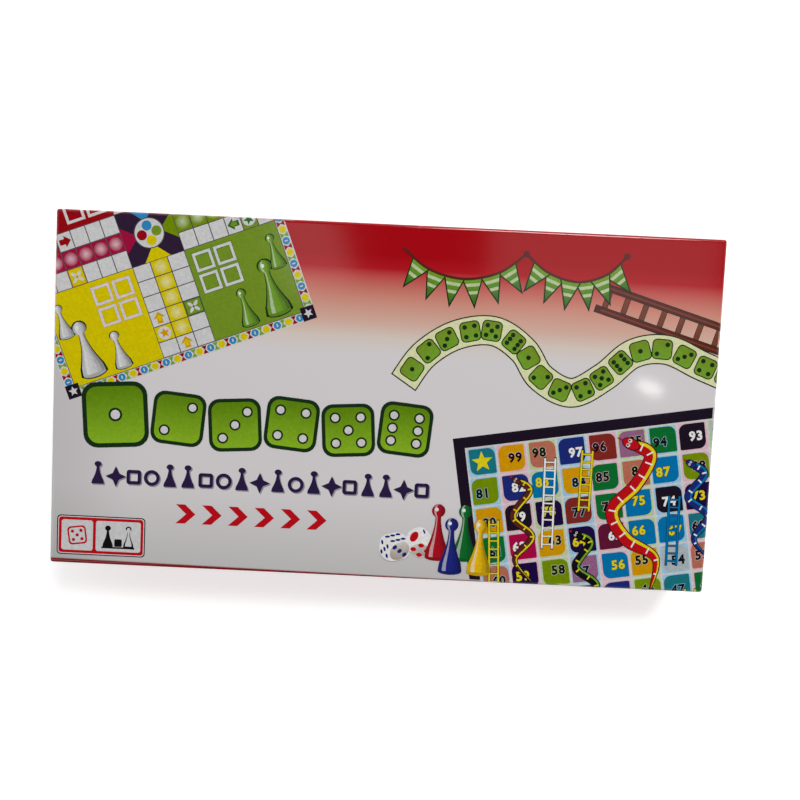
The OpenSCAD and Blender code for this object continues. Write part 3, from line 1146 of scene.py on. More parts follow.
@dataclass(frozen=True)
class SnakesArt:
    """A hundred numbered squares with snakes and ladders, in cells."""

    count: int = 10
    border: float = 0.38
    square: float = 0.86
    seat: float = 0.95
    round_corner: float = 0.24
    sharp_corner: float = 0.05
    white_line: float = 0.04
    digit_height: float = 0.31
    digit_weight: float = 0.055
    edge_weight: float = 0.095
    rung_pitch: float = 0.27
    dark_edge: float = 0.03
    head: float = 0.72
    inks: tuple[Ink, ...] = (
        Ink.INDIGO, Ink.AMBER, Ink.EMERALD, Ink.MAGENTA, Ink.CYAN, Ink.BRICK, Ink.LIME,
        Ink.MAROON, Ink.SALMON, Ink.NAVY, Ink.AMBER, Ink.TEAL, Ink.LILAC, Ink.EMERALD,
        Ink.CYAN, Ink.ROYAL, Ink.MIST,
    )
    pale: tuple[Ink, ...] = (Ink.SKY_PALE, Ink.PINK_PALE, Ink.GREEN_PALE)
    dark: frozenset[Ink] = frozenset(
        (Ink.INDIGO, Ink.NAVY, Ink.MAROON, Ink.ROYAL, Ink.MAGENTA, Ink.CYAN)
    )

    def draw(self, art: Stencil) -> None:
        """Print the board on levels 0 to 17.

        Args:
            art: Stencil about the board's centre, in cells.
        """
        side = self.count + 2 * self.border
        art.put(tile(side, side), Ink.NAVY, 0)
        field_side = self.count + self.white_line
        art.put(tile(field_side, field_side), Ink.WHITE, 1)
        corner = art.moved(-self.count / 2, -self.count / 2)
        for row in range(self.count):
            for column in range(self.count):
                self._square(corner, row, column)
        for ladder in LADDERS:
            self._ladder(corner, ladder)
        for snake in SNAKES:
            self._snake(corner, snake)

    def _square(self, corner: Stencil, row: int, column: int) -> None:
        """Print one numbered square; rows run to and fro.

        Args:
            corner: The board's lower left corner.
            row: Its row from the bottom.
            column: Its column from the left.
        """
        value = row * self.count + (column + 1 if row % 2 == 0 else self.count - column)
        pick = (7 * column + 5 * row + (column * row) % 3) % len(self.inks)
        ink = self.inks[pick]
        tint = self.pale[(column + 3 * row) % len(self.pale)]
        x, y = column + 0.5, row + 0.5
        lean = 1 if (row + column) % 2 else -1
        corner.put(tile(self.seat, self.seat, 0.08), tint, 2, x, y)
        one, other = self.sharp_corner, self.round_corner
        if lean > 0:
            one, other = other, one
        radii = (one, other, other, one)
        corner.put(tile(self.square, self.square, radii), ink, 3, x + 0.015 * lean, y + 0.01)
        if value == self.count**2:
            corner.put(star(5, 0.36, 0.15), Ink.LEMON, 4, x, y)
            return
        plain = ink in self.dark
        face = (Ink.LIGHT if pick % 2 else Ink.LEMON) if plain else Ink.BLACK
        edge = Ink.BLACK if plain else tint
        dx, dy = 0.1 * lean * (row % 3 - 1), 0.07 * (column % 3 - 1)
        for weight, tone, level in ((self.edge_weight, edge, 4), (self.digit_weight, face, 5)):
            figures = number(str(value), self.digit_height, weight)
            corner.put(figures, tone, level, x + dx, y + dy)

    def _ladder(self, corner: Stencil, ladder: Ladder) -> None:
        """Print a ladder with a dark edge round its rails and rungs.

        Args:
            corner: The board's lower left corner.
            ladder: The ladder.
        """
        foot, top = Vector(ladder.foot), Vector(ladder.top)
        lines = LadderLines(foot, top, ladder.width / 2)
        rungs = max(3, round((top - foot).length / self.rung_pitch))
        for ink, level, grow in ((Ink.BLACK, 6, self.dark_edge), (ladder.rails, 8, 0.0)):
            for rung in lines.rungs(rungs):
                corner.put(bar(*rung, 0.045 + grow), ink, level)
            for rail in lines.rails(grow, grow):
                corner.put(bar(*rail, 0.06 + grow), ink, level + 1)

    def _snake(self, corner: Stencil, snake: Snake) -> None:
        """Print a snake: its body, its belly stripe, its bands and its head.

        Args:
            corner: The board's lower left corner.
            snake: The snake.
        """
        path = smooth_path(snake.knots, 12)
        last = len(path) - 1
        widths = [snake.width * min(1.0, 0.62 + 4 * i / last, 3.2 * (1 - i / last) + 0.08)
                  for i in range(last + 1)]
        corner.put(strip(path, [w + 0.05 for w in widths]), Ink.BLACK, 10)
        corner.put(strip(path, widths), snake.skin, 11)
        corner.put(strip(path, [0.26 * w for w in widths], 1.25), snake.belly, 12)
        for i in range(6, last - 4, 5):
            corner.put(tile(0.05, widths[i] * 0.62), snake.band, 13, *path[i], heading(path, i))
        x, y = path[0]
        turn = heading(path, 0)
        head = corner.moved(x, y, turn)
        size = snake.width
        tongue = [(-1.25 * size, 0.0), (-0.7 * size, 0.0)]
        head.put(strip(tongue, [0.03, 0.07]), Ink.SCARLET, 13)
        head.put(disc(self.head * size + self.dark_edge, 20, 0.62), Ink.BLACK, 14)
        head.put(disc(self.head * size, 20, 0.58), snake.skin, 15)
        for side in (-1, 1):
            head.put(disc(0.17 * size, 12), Ink.WHITE, 16, -0.18 * size, side * 0.2 * size)
            head.put(disc(0.08 * size, 8), Ink.BLACK, 17, -0.22 * size, side * 0.2 * size)


@dataclass(frozen=True)
class FaceLayout:
    """Where the motifs lie on the lid's printed face, mm from its centre."""

    ludo_centre: Point = (-68.5, 45.2)
    ludo_turn: float = math.radians(20.95)
    ludo_cell: float = 4.633
    snakes_centre: Point = (74.2, -47.6)
    snakes_turn: float = math.radians(9.63)
    snakes_cell: float = 8.69
    dice_left: float = -75.0
    dice_pitch: float = 16.3
    dice_first: float = -1.85
    dice_middle: float = -7.8
    dice_size: float = 13.6
    dice_grow: float = 1.24
    dice_lift: float = 1.4
    dice_sway: float = 0.5
    row_left: float = -81.5
    row_pitch: float = 5.2
    row_foot: float = -27.2
    row_height: float = 6.6
    row_count: int = 19
    row_shade: float = 0.35
    bars_count: int = 6
    bars_left: float = -55.4
    bars_pitch: float = 7.6
    bars_middle: float = -34.9
    sign_centre: Point = (-80.2, -42.5)
    sign_size: Point = (25.6, 11.6)
    pawn_height: float = 15.6


@dataclass(frozen=True)
class LidArt:
    """The print on the lid's face.

    Attributes:
        face: Stencil about the middle of the face, in mm.
        at: Where the motifs lie on it.
    """

    face: Stencil
    at: FaceLayout = FaceLayout()

    def draw(self) -> None:
        """Print every motif of the face."""
        at = self.at
        LudoArt().draw(self.face.moved(*at.ludo_centre, at.ludo_turn, at.ludo_cell))
        SnakesArt().draw(self.face.moved(*at.snakes_centre, at.snakes_turn, at.snakes_cell))
        self._dice_row()
        self._row()
        self._bars()
        self._sign()
        self._bunting()
        self._ladder()
        self._track()
        self._pieces()

    def _dice_row(self) -> None:
        """Print a row of six large green die faces."""
        at = self.at
        spread = 0.27
        for i, pips in enumerate(PipCount):
            size = at.dice_size * (at.dice_grow if i == 0 else 1.0)
            x = at.dice_left + at.dice_pitch * i + (at.dice_first if i == 0 else 0.0)
            y = at.dice_middle + (at.dice_lift if i == 0 else 0.0)
            y += at.dice_sway if i % 2 else -at.dice_sway
            die = self.face.moved(x, y, math.radians(-5 if i % 2 else 4), size, 9)
            die.put(tile(1.12, 1.12, 0.24), Ink.PINE, 0)
            die.put(tile(0.97, 0.97, 0.18), Fade(Ink.GRASS, Ink.GRASS_DEEP, -0.4, 0.4), 1)
            for px, py in pips.value:
                spot = (spread * px, spread * py)
                die.put(disc(0.118), Ink.PINE, 2, *spot)
                die.put(disc(0.08), Ink.PAPER, 3, *spot)

    def _row(self) -> None:
        """Print a row of small violet pawns, rings and squares with a grey shade."""
        at = self.at
        tall = at.row_height
        shapes: tuple[Callable[[], BMesh], ...] = (
            lambda: PAWN.silhouette(tall, 1.25),
            lambda: hollowed(disc(0.35 * tall), 0.15 * tall),
            lambda: hollowed(tile(0.64 * tall, 0.64 * tall, 0.12 * tall), 0.15 * tall),
            lambda: star(4, 0.46 * tall, 0.2 * tall),
        )
        for i in range(at.row_count):
            make = shapes[(i * 3) % len(shapes) if i % 5 else 0]
            standing = make is shapes[0]
            y = at.row_foot if standing else at.row_foot + 0.36 * tall
            x = at.row_left + at.row_pitch * i
            self.face.put(make(), Ink.VIOLET_SHADE, 0, x + at.row_shade, y - at.row_shade)
            self.face.put(make(), Ink.VIOLET, 1, x, y)

    def _bars(self) -> None:
        """Print a row of slanting red arrow bars."""
        at = self.at
        shape = [(-3.3, -2.8), (-0.6, -2.8), (2.4, 0.0), (-0.6, 2.8), (-3.3, 2.8), (-0.3, 0.0)]
        for i in range(at.bars_count):
            x = at.bars_left + at.bars_pitch * i
            self.face.put(polygon(shape), Ink.SCARLET, 1, x, at.bars_middle)

    def _sign(self) -> None:
        """Print the small framed sign with a die and two pawns."""
        width, height = self.at.sign_size
        sign = self.face.moved(*self.at.sign_centre)
        sign.put(tile(width, height, 1.1), Ink.BLACK, 0)
        sign.put(tile(width - 0.6, height - 0.6, 0.9), Ink.PAPER, 1)
        sign.put(tile(width - 1.1, height - 1.1, 0.8), Ink.SCARLET, 2)
        cell_height = height - 2.7
        die_x, pawns_x = -6.9, 5.0
        for x, cell_width in ((die_x, 9.1), (pawns_x, 13.0)):
            sign.put(tile(cell_width, cell_height, 0.7), Ink.WHITE, 3, x, 0.0)
        die = sign.moved(die_x, 0.0, math.radians(8), 5.4)
        die.put(tile(1.0, 1.0, 0.2), Ink.SCARLET, 4)
        die.put(tile(0.82, 0.82, 0.14), Ink.WHITE, 5)
        for px, py in PipCount.FIVE.value:
            die.put(disc(0.09, 14), Ink.SCARLET, 6, 0.23 * px, 0.23 * py)
        foot = -cell_height / 2 + 1.4
        sign.put(tile(9.6, 0.5), Ink.BLACK, 4, pawns_x, foot - 0.25)
        for x in (pawns_x - 3.0, pawns_x + 3.0):
            sign.put(PAWN.silhouette(6.2, 1.1), Ink.BLACK, 4, x, foot)
        sign.put(PAWN.silhouette(5.5, 0.8), Ink.WHITE, 5, pawns_x + 3.0, foot + 0.3)
        sign.put(tile(2.2, 2.2, 0.35), Ink.BLACK, 4, pawns_x, foot + 1.2)

    def _bunting(self) -> None:
        """Print two swags of striped green pennants on a cord."""
        fade = Fade(Ink.LEAF_DEEP, Ink.LEAF, -7.4, -3.6)
        swags = (((3.5, 44.5), (11.0, 38.8), (21.0, 36.4), (31.0, 38.6), (38.5, 44.2)),
                 ((38.5, 44.2), (45.0, 39.2), (53.5, 37.0), (61.5, 39.4), (67.0, 44.8)))
        for order, knots in enumerate(swags):
            cord = smooth_path(knots, 12)
            self.face.put(strip(cord, [0.7] * len(cord)), Ink.BARK, 12 + order)
            self.face.put(disc(0.9, 16), Ink.BARK, 14 + order, *cord[-1])
            for i in range(9, len(cord) - 6, 6):
                turn = heading(cord, i)
                flag = self.face.moved(*cord[i], turn, level=6 * order + i % 12 // 6 * 3)
                flag.put(polygon([(-3.1, 0.2), (0.0, -8.6), (3.1, 0.2)]), Ink.PINE, 0)
                flag.put(polygon([(-2.6, -0.1), (0.0, -7.5), (2.6, -0.1)]), fade, 1)
                for low, high in ((-1.3, -2.2), (-3.5, -4.4)):
                    wide, slim = (2.6 * (1 + drop / 7.4) for drop in (low, high))
                    stripe = [(-wide, low), (-slim, high), (slim, high), (wide, low)]
                    flag.put(polygon(stripe), Ink.GREEN_PALE, 2)

    def _ladder(self) -> None:
        """Print a wooden ladder that runs out over the right edge."""
        lines = LadderLines(Vector((97.0, 22.0)), Vector((60.0, 33.0)), 3.3)
        for ink, level, grow in ((Ink.PINE, 0, 0.4), (Ink.BARK_LIGHT, 1, 0.0)):
            for rung in lines.rungs(7, 0.6):
                self.face.put(bar(*rung, 1.3 + grow), ink, level)
        for ink, level, grow in ((Ink.PINE, 2, 0.4), (Ink.BARK, 3, 0.0), (Ink.BARK_LIGHT, 4, -1.3)):
            for rail in lines.rails(high=grow):
                self.face.put(bar(*rail, 1.8 + grow), ink, level)

    def _track(self) -> None:
        """Print a winding path of green squares on an ivory ribbon."""
        knots = [(5.5, 6.5), (11.0, 14.5), (20.0, 20.5), (30.5, 22.0), (39.0, 17.0),
                 (44.5, 9.5), (53.5, 5.5), (62.5, 10.5), (70.5, 17.5), (80.0, 19.0),
                 (90.0, 15.0), (98.0, 12.0)]
        path = smooth_path(knots, 14)
        edge, ribbon, pitch = 0.35, 7.9, 6.6
        lead = Vector(path[0]) - (Vector(path[1]) - Vector(path[0])).normalized() * edge
        outer = [ribbon + 2 * edge] * (len(path) + 1)
        self.face.put(strip([tuple(lead), *path], outer), Ink.PINE, 5)
        self.face.put(strip(path, [ribbon] * len(path)), Ink.IVORY, 6)
        fade = Fade(Ink.LEAF, Ink.GREEN, -2.4, 2.4)
        walked, due, count = 0.0, 4.2, 0
        for i in range(1, len(path)):
            walked += math.dist(path[i - 1], path[i])
            if walked < due:
                continue
            due += pitch
            square = self.face.moved(*path[i], heading(path, i), 1.0, 7)
            square.put(tile(5.9, 5.9, 1.4), Ink.PINE, 0)
            square.put(tile(5.3, 5.3, 1.15), fade, 1)
            for px, py in list(PipCount)[count % len(PipCount)].value:
                square.put(disc(0.66, 18), Ink.PINE, 2, 1.4 * px, 1.4 * py)
            count += 1

    def _pieces(self) -> None:
        """Print two dice, the left before the other, and pawns, two before two."""
        for order, die in enumerate(PICTURED_DICE):
            die.draw(self.face.moved(*die.at, level=6 + 4 * order))
        for x, y, ink, level in (
            (17.3, -44.1, Ink.PAWN_RED, 18), (25.1, -44.0, Ink.PAWN_GREEN, 18),
            (21.3, -48.0, Ink.PAWN_BLUE, 22), (29.6, -48.0, Ink.PAWN_YELLOW, 22),
        ):
            PAWN.picture(self.face.moved(x, y, level=level), self.at.pawn_height, ink, None)


class Nodes:
    """A small sketchbook for one node material."""

    def __init__(self, name: str) -> None:
        """Start an empty material with its output and one shader.

        Args:
            name: Name of the material.
        """
        self.material = bpy.data.materials.new(name)
        self.material.use_nodes = True
        self.tree = self.material.node_tree
        self.tree.nodes.clear()
        self.shader = self.add("ShaderNodeBsdfPrincipled")
        output = self.add("ShaderNodeOutputMaterial")
        self.join(self.shader.outputs["BSDF"], output.inputs["Surface"])
        self.place = self.add("ShaderNodeTexCoord").outputs["Object"]

    def add(self, kind: str, **settings: object) -> bpy.types.Node:
        """Add a node.

        Args:
            kind: Its type.
            settings: Its attributes.

        Returns:
            The new node.
        """
        node = self.tree.nodes.new(kind)
        for key, value in settings.items():
            setattr(node, key, value)
        return node

    def join(self, source: Socket, target: Socket) -> None:
        """Link one socket to another."""
        self.tree.links.new(source, target)

    def fix(self, **values: object) -> None:
        """Set constant values on the shader's own sockets."""
        for key, value in values.items():
            self.shader.inputs[key.replace("_", " ")].default_value = value

    def feed(self, slot: Socket, term: object) -> None:
        """Link an input to a socket, or set it to a constant.

        Args:
            slot: The input.
            term: The socket or the constant.
        """
        if isinstance(term, Socket):
            self.join(term, slot)
        else:
            slot.default_value = term

    def paint(self, colour: Socket) -> None:
        """Give the shader its colour."""
        self.join(colour, self.shader.inputs["Base Color"])

    def sum(self, kind: str, *terms: object) -> Socket:
        """Return the result of a Math node.

        Args:
            kind: Name of the operation.
            terms: Sockets or numbers, in the order of the node's inputs.

        Returns:
            The node's output.
        """
        node = self.add("ShaderNodeMath", operation=kind)
        for slot, term in zip(node.inputs, terms):
            self.feed(slot, term)
        return node.outputs[0]

    def noise(self, scale: float, detail: float = 3.0,
              stretch: Triple = (1.0, 1.0, 1.0)) -> Socket:
        """Return a noise value on Object coordinates.

        Args:
            scale: Lumps of the noise per metre.
            detail: Finer layers of it.
            stretch: Share of the scale along X, Y and Z.

        Returns:
            The value, about 0 to 1.
        """
        mapping = self.add("ShaderNodeMapping")
        mapping.inputs["Scale"].default_value = stretch
        self.join(self.place, mapping.inputs["Vector"])
        node = self.add("ShaderNodeTexNoise")
        node.inputs["Scale"].default_value = scale
        node.inputs["Detail"].default_value = detail
        self.join(mapping.outputs[0], node.inputs["Vector"])
        return node.outputs["Fac"]

    def span(self, value: Socket, low: float, high: float, to_low: float = 0.0,
             to_high: float = 1.0) -> Socket:
        """Return a value mapped smoothly from one range to another.

        Args:
            value: The value.
            low: Where the change starts.
            high: Where it ends.
            to_low: Result at the start and before.
            to_high: Result at the end and after.

        Returns:
            The mapped value.
        """
        node = self.add("ShaderNodeMapRange", interpolation_type="SMOOTHSTEP")
        self.join(value, node.inputs["Value"])
        for key, number in (("From Min", low), ("From Max", high), ("To Min", to_low),
                            ("To Max", to_high)):
            node.inputs[key].default_value = number
        return node.outputs[0]

    def reach(self, along: Socket, low: float, high: float, to_low: float = 0.0,
              to_high: float = 1.0) -> Socket:
        """Return a place along an axis mapped smoothly; low and high are in mm."""
        return self.span(along, low * MM, high * MM, to_low, to_high)

    def mix(self, share: object, first: object, second: object,
            blend: str = "MIX") -> Socket:
        """Return a colour mixed from two.

        Args:
            share: Share of the second, a socket or a number.
            first: A socket or a colour.
            second: A socket or a colour.
            blend: How the second goes over the first.

        Returns:
            The mixed colour.
        """
        node = self.add("ShaderNodeMix", data_type="RGBA", blend_type=blend)
        for place, term in ((0, share), (6, first), (7, second)):
            self.feed(node.inputs[place], term)
        return node.outputs[2]

    def relief(self, *layers: tuple[Socket, float]) -> None:
        """Bump the surface.

        Args:
            layers: Height values, each with the depth in metres that it stands for.
        """
        normal = None
        for height, depth in layers:
            bump = self.add("ShaderNodeBump")
            bump.inputs["Distance"].default_value = depth
            bump.inputs["Strength"].default_value = 1.0
            self.join(height, bump.inputs["Height"])
            if normal is not None:
                self.join(normal, bump.inputs["Normal"])
            normal = bump.outputs[0]
        self.join(normal, self.shader.inputs["Normal"])

    def axes(self) -> tuple[Socket, ...]:
        """Split the Object coordinates.

        Returns:
            Their X, Y and Z.
        """
        split = self.add("ShaderNodeSeparateXYZ")
        self.join(self.place, split.inputs[0])
        return tuple(split.outputs)


@dataclass(frozen=True)
class FadeStop:
    """One stop of the face's fade: its distance from the middle, mm, and its ink."""

    height: float
    ink: Ink


@dataclass(frozen=True)
class Lamination:
    """Gloss film over printed paper.

    Attributes:
        roughness: How dull it is, 0 to 1.
        wave_depth: Depth of its slight waves, m.
        wave_scale: Waves per metre.
        wave_stretch: Share of that along X, Y and Z.
        grain_depth: Depth of its fine grain, m.
        grain_scale: Grains per metre.
        refraction: Index of refraction.
    """

    roughness: float = 0.1
    wave_depth: float = 0.0002
    wave_scale: float = 22.0
    wave_stretch: Triple = (1.0, 0.55, 1.0)
    grain_depth: float = 0.000002
    grain_scale: float = 2600.0
    refraction: float = 1.5

    def finish(self, nodes: Nodes) -> None:
        """Give a material the film's gloss and relief.

        Args:
            nodes: The material's nodes.
        """
        nodes.fix(Roughness=self.roughness, IOR=self.refraction)
        waves = nodes.noise(self.wave_scale, 1.0, self.wave_stretch)
        grain = nodes.noise(self.grain_scale, 2.0)
        nodes.relief((waves, self.wave_depth), (grain, self.grain_depth))


@dataclass(frozen=True)
class LidPaper:
    """Covering paper of the lid: red at the top of the face, fading to grey, with painted shade
    darkening the paper towards the front edge.

    Attributes:
        half_length: Half the lid's length, mm.
        half_width: Half its width, mm.
        top: Height of its face, mm.
        grey_from: Distance from the middle where the left end starts to darken, mm.
        grey_share: Light left at the left edge.
        film: Film over the paper.
        slant: Slope of the fade.
        rim: Depths below the face between which the walls turn red, mm.
        skin: The same inside the long walls.
        dull: Distances from the front edge between which the shine starts, mm.
        gloss: Shine of the film.
        dull_gloss: Shine of the dull strip.
        wear_reach: Width of the rubbed band along the edges, mm.
        wear_scale: Rubbed patches per metre.
        worn: Noise at which a patch starts and is bare.
        fade: Stops of the face's colour, from the front edge to the back. The red print bleed on
            the front edge is printed darker as painted shade, and the paper darkens towards that
            edge as painted shade.
    """

    half_length: float = 95.0
    half_width: float = 50.9
    top: float = 24.6
    grey_from: float = 68.0
    grey_share: float = 0.84
    film: Lamination = Lamination()
    slant: float = 0.0087
    rim: Point = (0.9, 0.6)
    skin: Point = (0.35, 0.25)
    dull: Point = (0.5, 0.8)
    gloss: float = 0.5
    dull_gloss: float = 0.06
    wear_reach: float = 0.55
    wear_scale: float = 160.0
    worn: Point = (0.56, 0.68)
    fade: tuple[FadeStop, ...] = (
        # Red print bleed on the front edge, in a darker red as painted shade.
        FadeStop(-50.9, Ink.BLEED_RED), FadeStop(-50.47, Ink.BLEED_RED),
        # The paper darkens from 28 mm before the middle to the front edge as painted shade.
        FadeStop(-50.42, Ink.PAPER_LOW), FadeStop(-28.0, Ink.PAPER), FadeStop(14.0, Ink.PAPER),
        FadeStop(18.5, Ink.CREAM_PAPER), FadeStop(22.8, Ink.SHELL), FadeStop(29.6, Ink.BLUSH),
        FadeStop(35.6, Ink.ROSE), FadeStop(38.2, Ink.RED_END), FadeStop(42.0, Ink.RED),
    )

    def build(self) -> Material:
        """Mix the material.

        Returns:
            The new material.
        """
        nodes = Nodes("lid_paper")
        x, y, z = nodes.axes()
        slant = nodes.sum("MULTIPLY_ADD", x, self.slant, y)
        share = nodes.sum("MULTIPLY_ADD", slant, 1 / (2 * self.half_width * MM), 0.5)
        ramp = nodes.add("ShaderNodeValToRGB")
        band = ramp.color_ramp.elements
        for stop in self.fade:
            at = (stop.height + self.half_width) / (2 * self.half_width)
            element = band.new(at) if stop is not self.fade[0] else band[0]
            element.position = at
            element.color = stop.ink.rgba
        band.remove(band[-1])
        nodes.join(share, ramp.inputs[0])
        rim = [self.top - depth for depth in self.rim]
        low = nodes.reach(z, *rim, 1.0, 0.0)
        skin = [self.half_width - depth for depth in self.skin]
        far = nodes.reach(nodes.sum("ABSOLUTE", y), *skin)
        wall = nodes.sum("MULTIPLY", low, far)
        grey = nodes.reach(x, -self.half_length, -self.grey_from, self.grey_share, 1.0)
        colour = nodes.mix(1.0, ramp.outputs[0], grey, "MULTIPLY")
        colour = nodes.mix(wall, colour, Ink.RED.rgba)
        edge = [inset - self.half_width for inset in self.dull]
        front = nodes.reach(y, *edge, 1.0, 0.0)
        dull = nodes.sum("MULTIPLY", front, nodes.sum("SUBTRACT", 1.0, low))
        sound = nodes.sum("SUBTRACT", 1.0, dull)
        wear = nodes.sum("MULTIPLY", self._wear(nodes), sound)
        nodes.paint(nodes.mix(wear, colour, Ink.WHITE.rgba))
        gloss = nodes.span(dull, 0.0, 1.0, self.gloss, self.dull_gloss)
        nodes.join(gloss, nodes.shader.inputs["Specular IOR Level"])
        self.film.finish(nodes)
        return nodes.material

    def _wear(self, nodes: Nodes) -> Socket:
        """Return a mask of the rubbed spots along the box's edges.

        Args:
            nodes: The material's nodes.

        Returns:
            A value of 0 on sound paper and up to 1 where the print is rubbed off.
        """
        x, y, z = nodes.axes()
        ends = ((nodes.sum("ABSOLUTE", x), self.half_length),
                (nodes.sum("ABSOLUTE", y), self.half_width), (z, self.top))
        near = [nodes.reach(along, end - self.wear_reach, end) for along, end in ends]
        pairs = [nodes.sum("MULTIPLY", near[a], near[b]) for a, b in ((0, 1), (1, 2), (0, 2))]
        edges = nodes.sum("ADD", nodes.sum("ADD", pairs[0], pairs[1]), pairs[2])
        patches = nodes.span(nodes.noise(self.wear_scale, 4.0), *self.worn)
        return nodes.sum("MULTIPLY", nodes.sum("MINIMUM", edges, 1.0), patches)


@dataclass(frozen=True)
class PlainPaper:
    """Covering paper in one colour, with faint darker clouds."""

    name: str
    ink: Ink
    film: Lamination = Lamination()
    cloud_scale: float = 35.0
    cloud_depth: float = 0.12

    def build(self) -> Material:
        """Mix the material.

        Returns:
            The new material.
        """
        nodes = Nodes(self.name)
        cloud = nodes.span(nodes.noise(self.cloud_scale, 2.0), 0.3, 0.7, 0.0, self.cloud_depth)
        nodes.paint(nodes.mix(cloud, self.ink.rgba, Ink.BLACK.rgba))
        self.film.finish(nodes)
        return nodes.material


@dataclass(frozen=True)
class PrintedInk:
    """Ink figures, each in the colour that its faces carry, with faint specks."""

    name: str
    film: Lamination = Lamination()
    speckle_scale: float = 1400.0
    speckle_light: float = 0.86

    def build(self) -> Material:
        """Mix the material.

        Returns:
            The new material.
        """
        nodes = Nodes(self.name)
        ink = nodes.add("ShaderNodeAttribute", attribute_name="ink").outputs["Color"]
        noise = nodes.noise(self.speckle_scale, 2.0)
        speckle = nodes.span(noise, 0.3, 0.75, self.speckle_light, 1.0)
        nodes.paint(nodes.mix(1.0, ink, speckle, "MULTIPLY"))
        self.film.finish(nodes)
        return nodes.material


@dataclass(frozen=True)
class Greyboard:
    """Recycled board: grey-brown, with fibres and pale flecks."""

    light: Rgba = (0.30, 0.26, 0.20, 1.0)
    dark: Rgba = (0.17, 0.15, 0.12, 1.0)
    fibre_scale: float = 900.0
    fibre_depth: float = 0.00006
    fleck_scale: float = 1500.0
    fleck_share: float = 0.7
    roughness: float = 0.92

    def build(self) -> Material:
        """Mix the material.

        Returns:
            The new material.
        """
        nodes = Nodes("greyboard")
        fibres = nodes.noise(self.fibre_scale, 6.0, (0.25, 1.0, 1.0))
        specks = nodes.noise(self.fleck_scale, 2.0)
        flecks = nodes.span(specks, 0.66, 0.74, 0.0, self.fleck_share)
        colour = nodes.mix(fibres, self.dark, self.light)
        nodes.paint(nodes.mix(flecks, colour, Ink.WHITE.rgba))
        nodes.fix(Roughness=self.roughness)
        nodes.relief((fibres, self.fibre_depth))
        return nodes.material


@dataclass(frozen=True)
class Moulding:
    """Moulded plastic: its colour, its gloss, faint clouds and a fine grain."""

    name: str
    colour: Rgba
    roughness: float
    grain_scale: float = 1800.0
    grain_depth: float = 0.00001
    coat: float = 0.0
    cloud_scale: float = 120.0
    cloud_depth: float = 0.1
    deep: float = 0.72

    def build(self) -> Material:
        """Mix the material.

        Returns:
            The new material.
        """
        nodes = Nodes(self.name)
        cloud = nodes.span(nodes.noise(self.cloud_scale, 2.0), 0.3, 0.7, 0.0, self.cloud_depth)
        nodes.paint(nodes.mix(cloud, self.colour, darker(self.colour, self.deep)))
        nodes.fix(Roughness=self.roughness, Coat_Weight=self.coat, Coat_Roughness=0.08)
        nodes.relief((nodes.noise(self.grain_scale), self.grain_depth))
        return nodes.material


@dataclass(frozen=True)
class Metal:
    """Bare metal with a rolled or drawn grain along X."""

    name: str
    colour: Rgba
    roughness: float
    metallic: float = 1.0
    grain_scale: float = 1400.0
    grain_depth: float = 0.000006
    grain_stretch: Triple = (0.06, 1.0, 1.0)
    deep: float = 0.7
    spread: float = 0.08

    def build(self) -> Material:
        """Mix the material.

        Returns:
            The new material.
        """
        nodes = Nodes(self.name)
        grain = nodes.noise(self.grain_scale, 4.0, self.grain_stretch)
        nodes.paint(nodes.mix(grain, self.colour, darker(self.colour, self.deep)))
        rough = nodes.span(grain, 0.2, 0.8, self.roughness - self.spread,
                           self.roughness + self.spread)
        nodes.join(rough, nodes.shader.inputs["Roughness"])
        nodes.fix(Metallic=self.metallic)
        nodes.relief((grain, self.grain_depth))
        return nodes.material


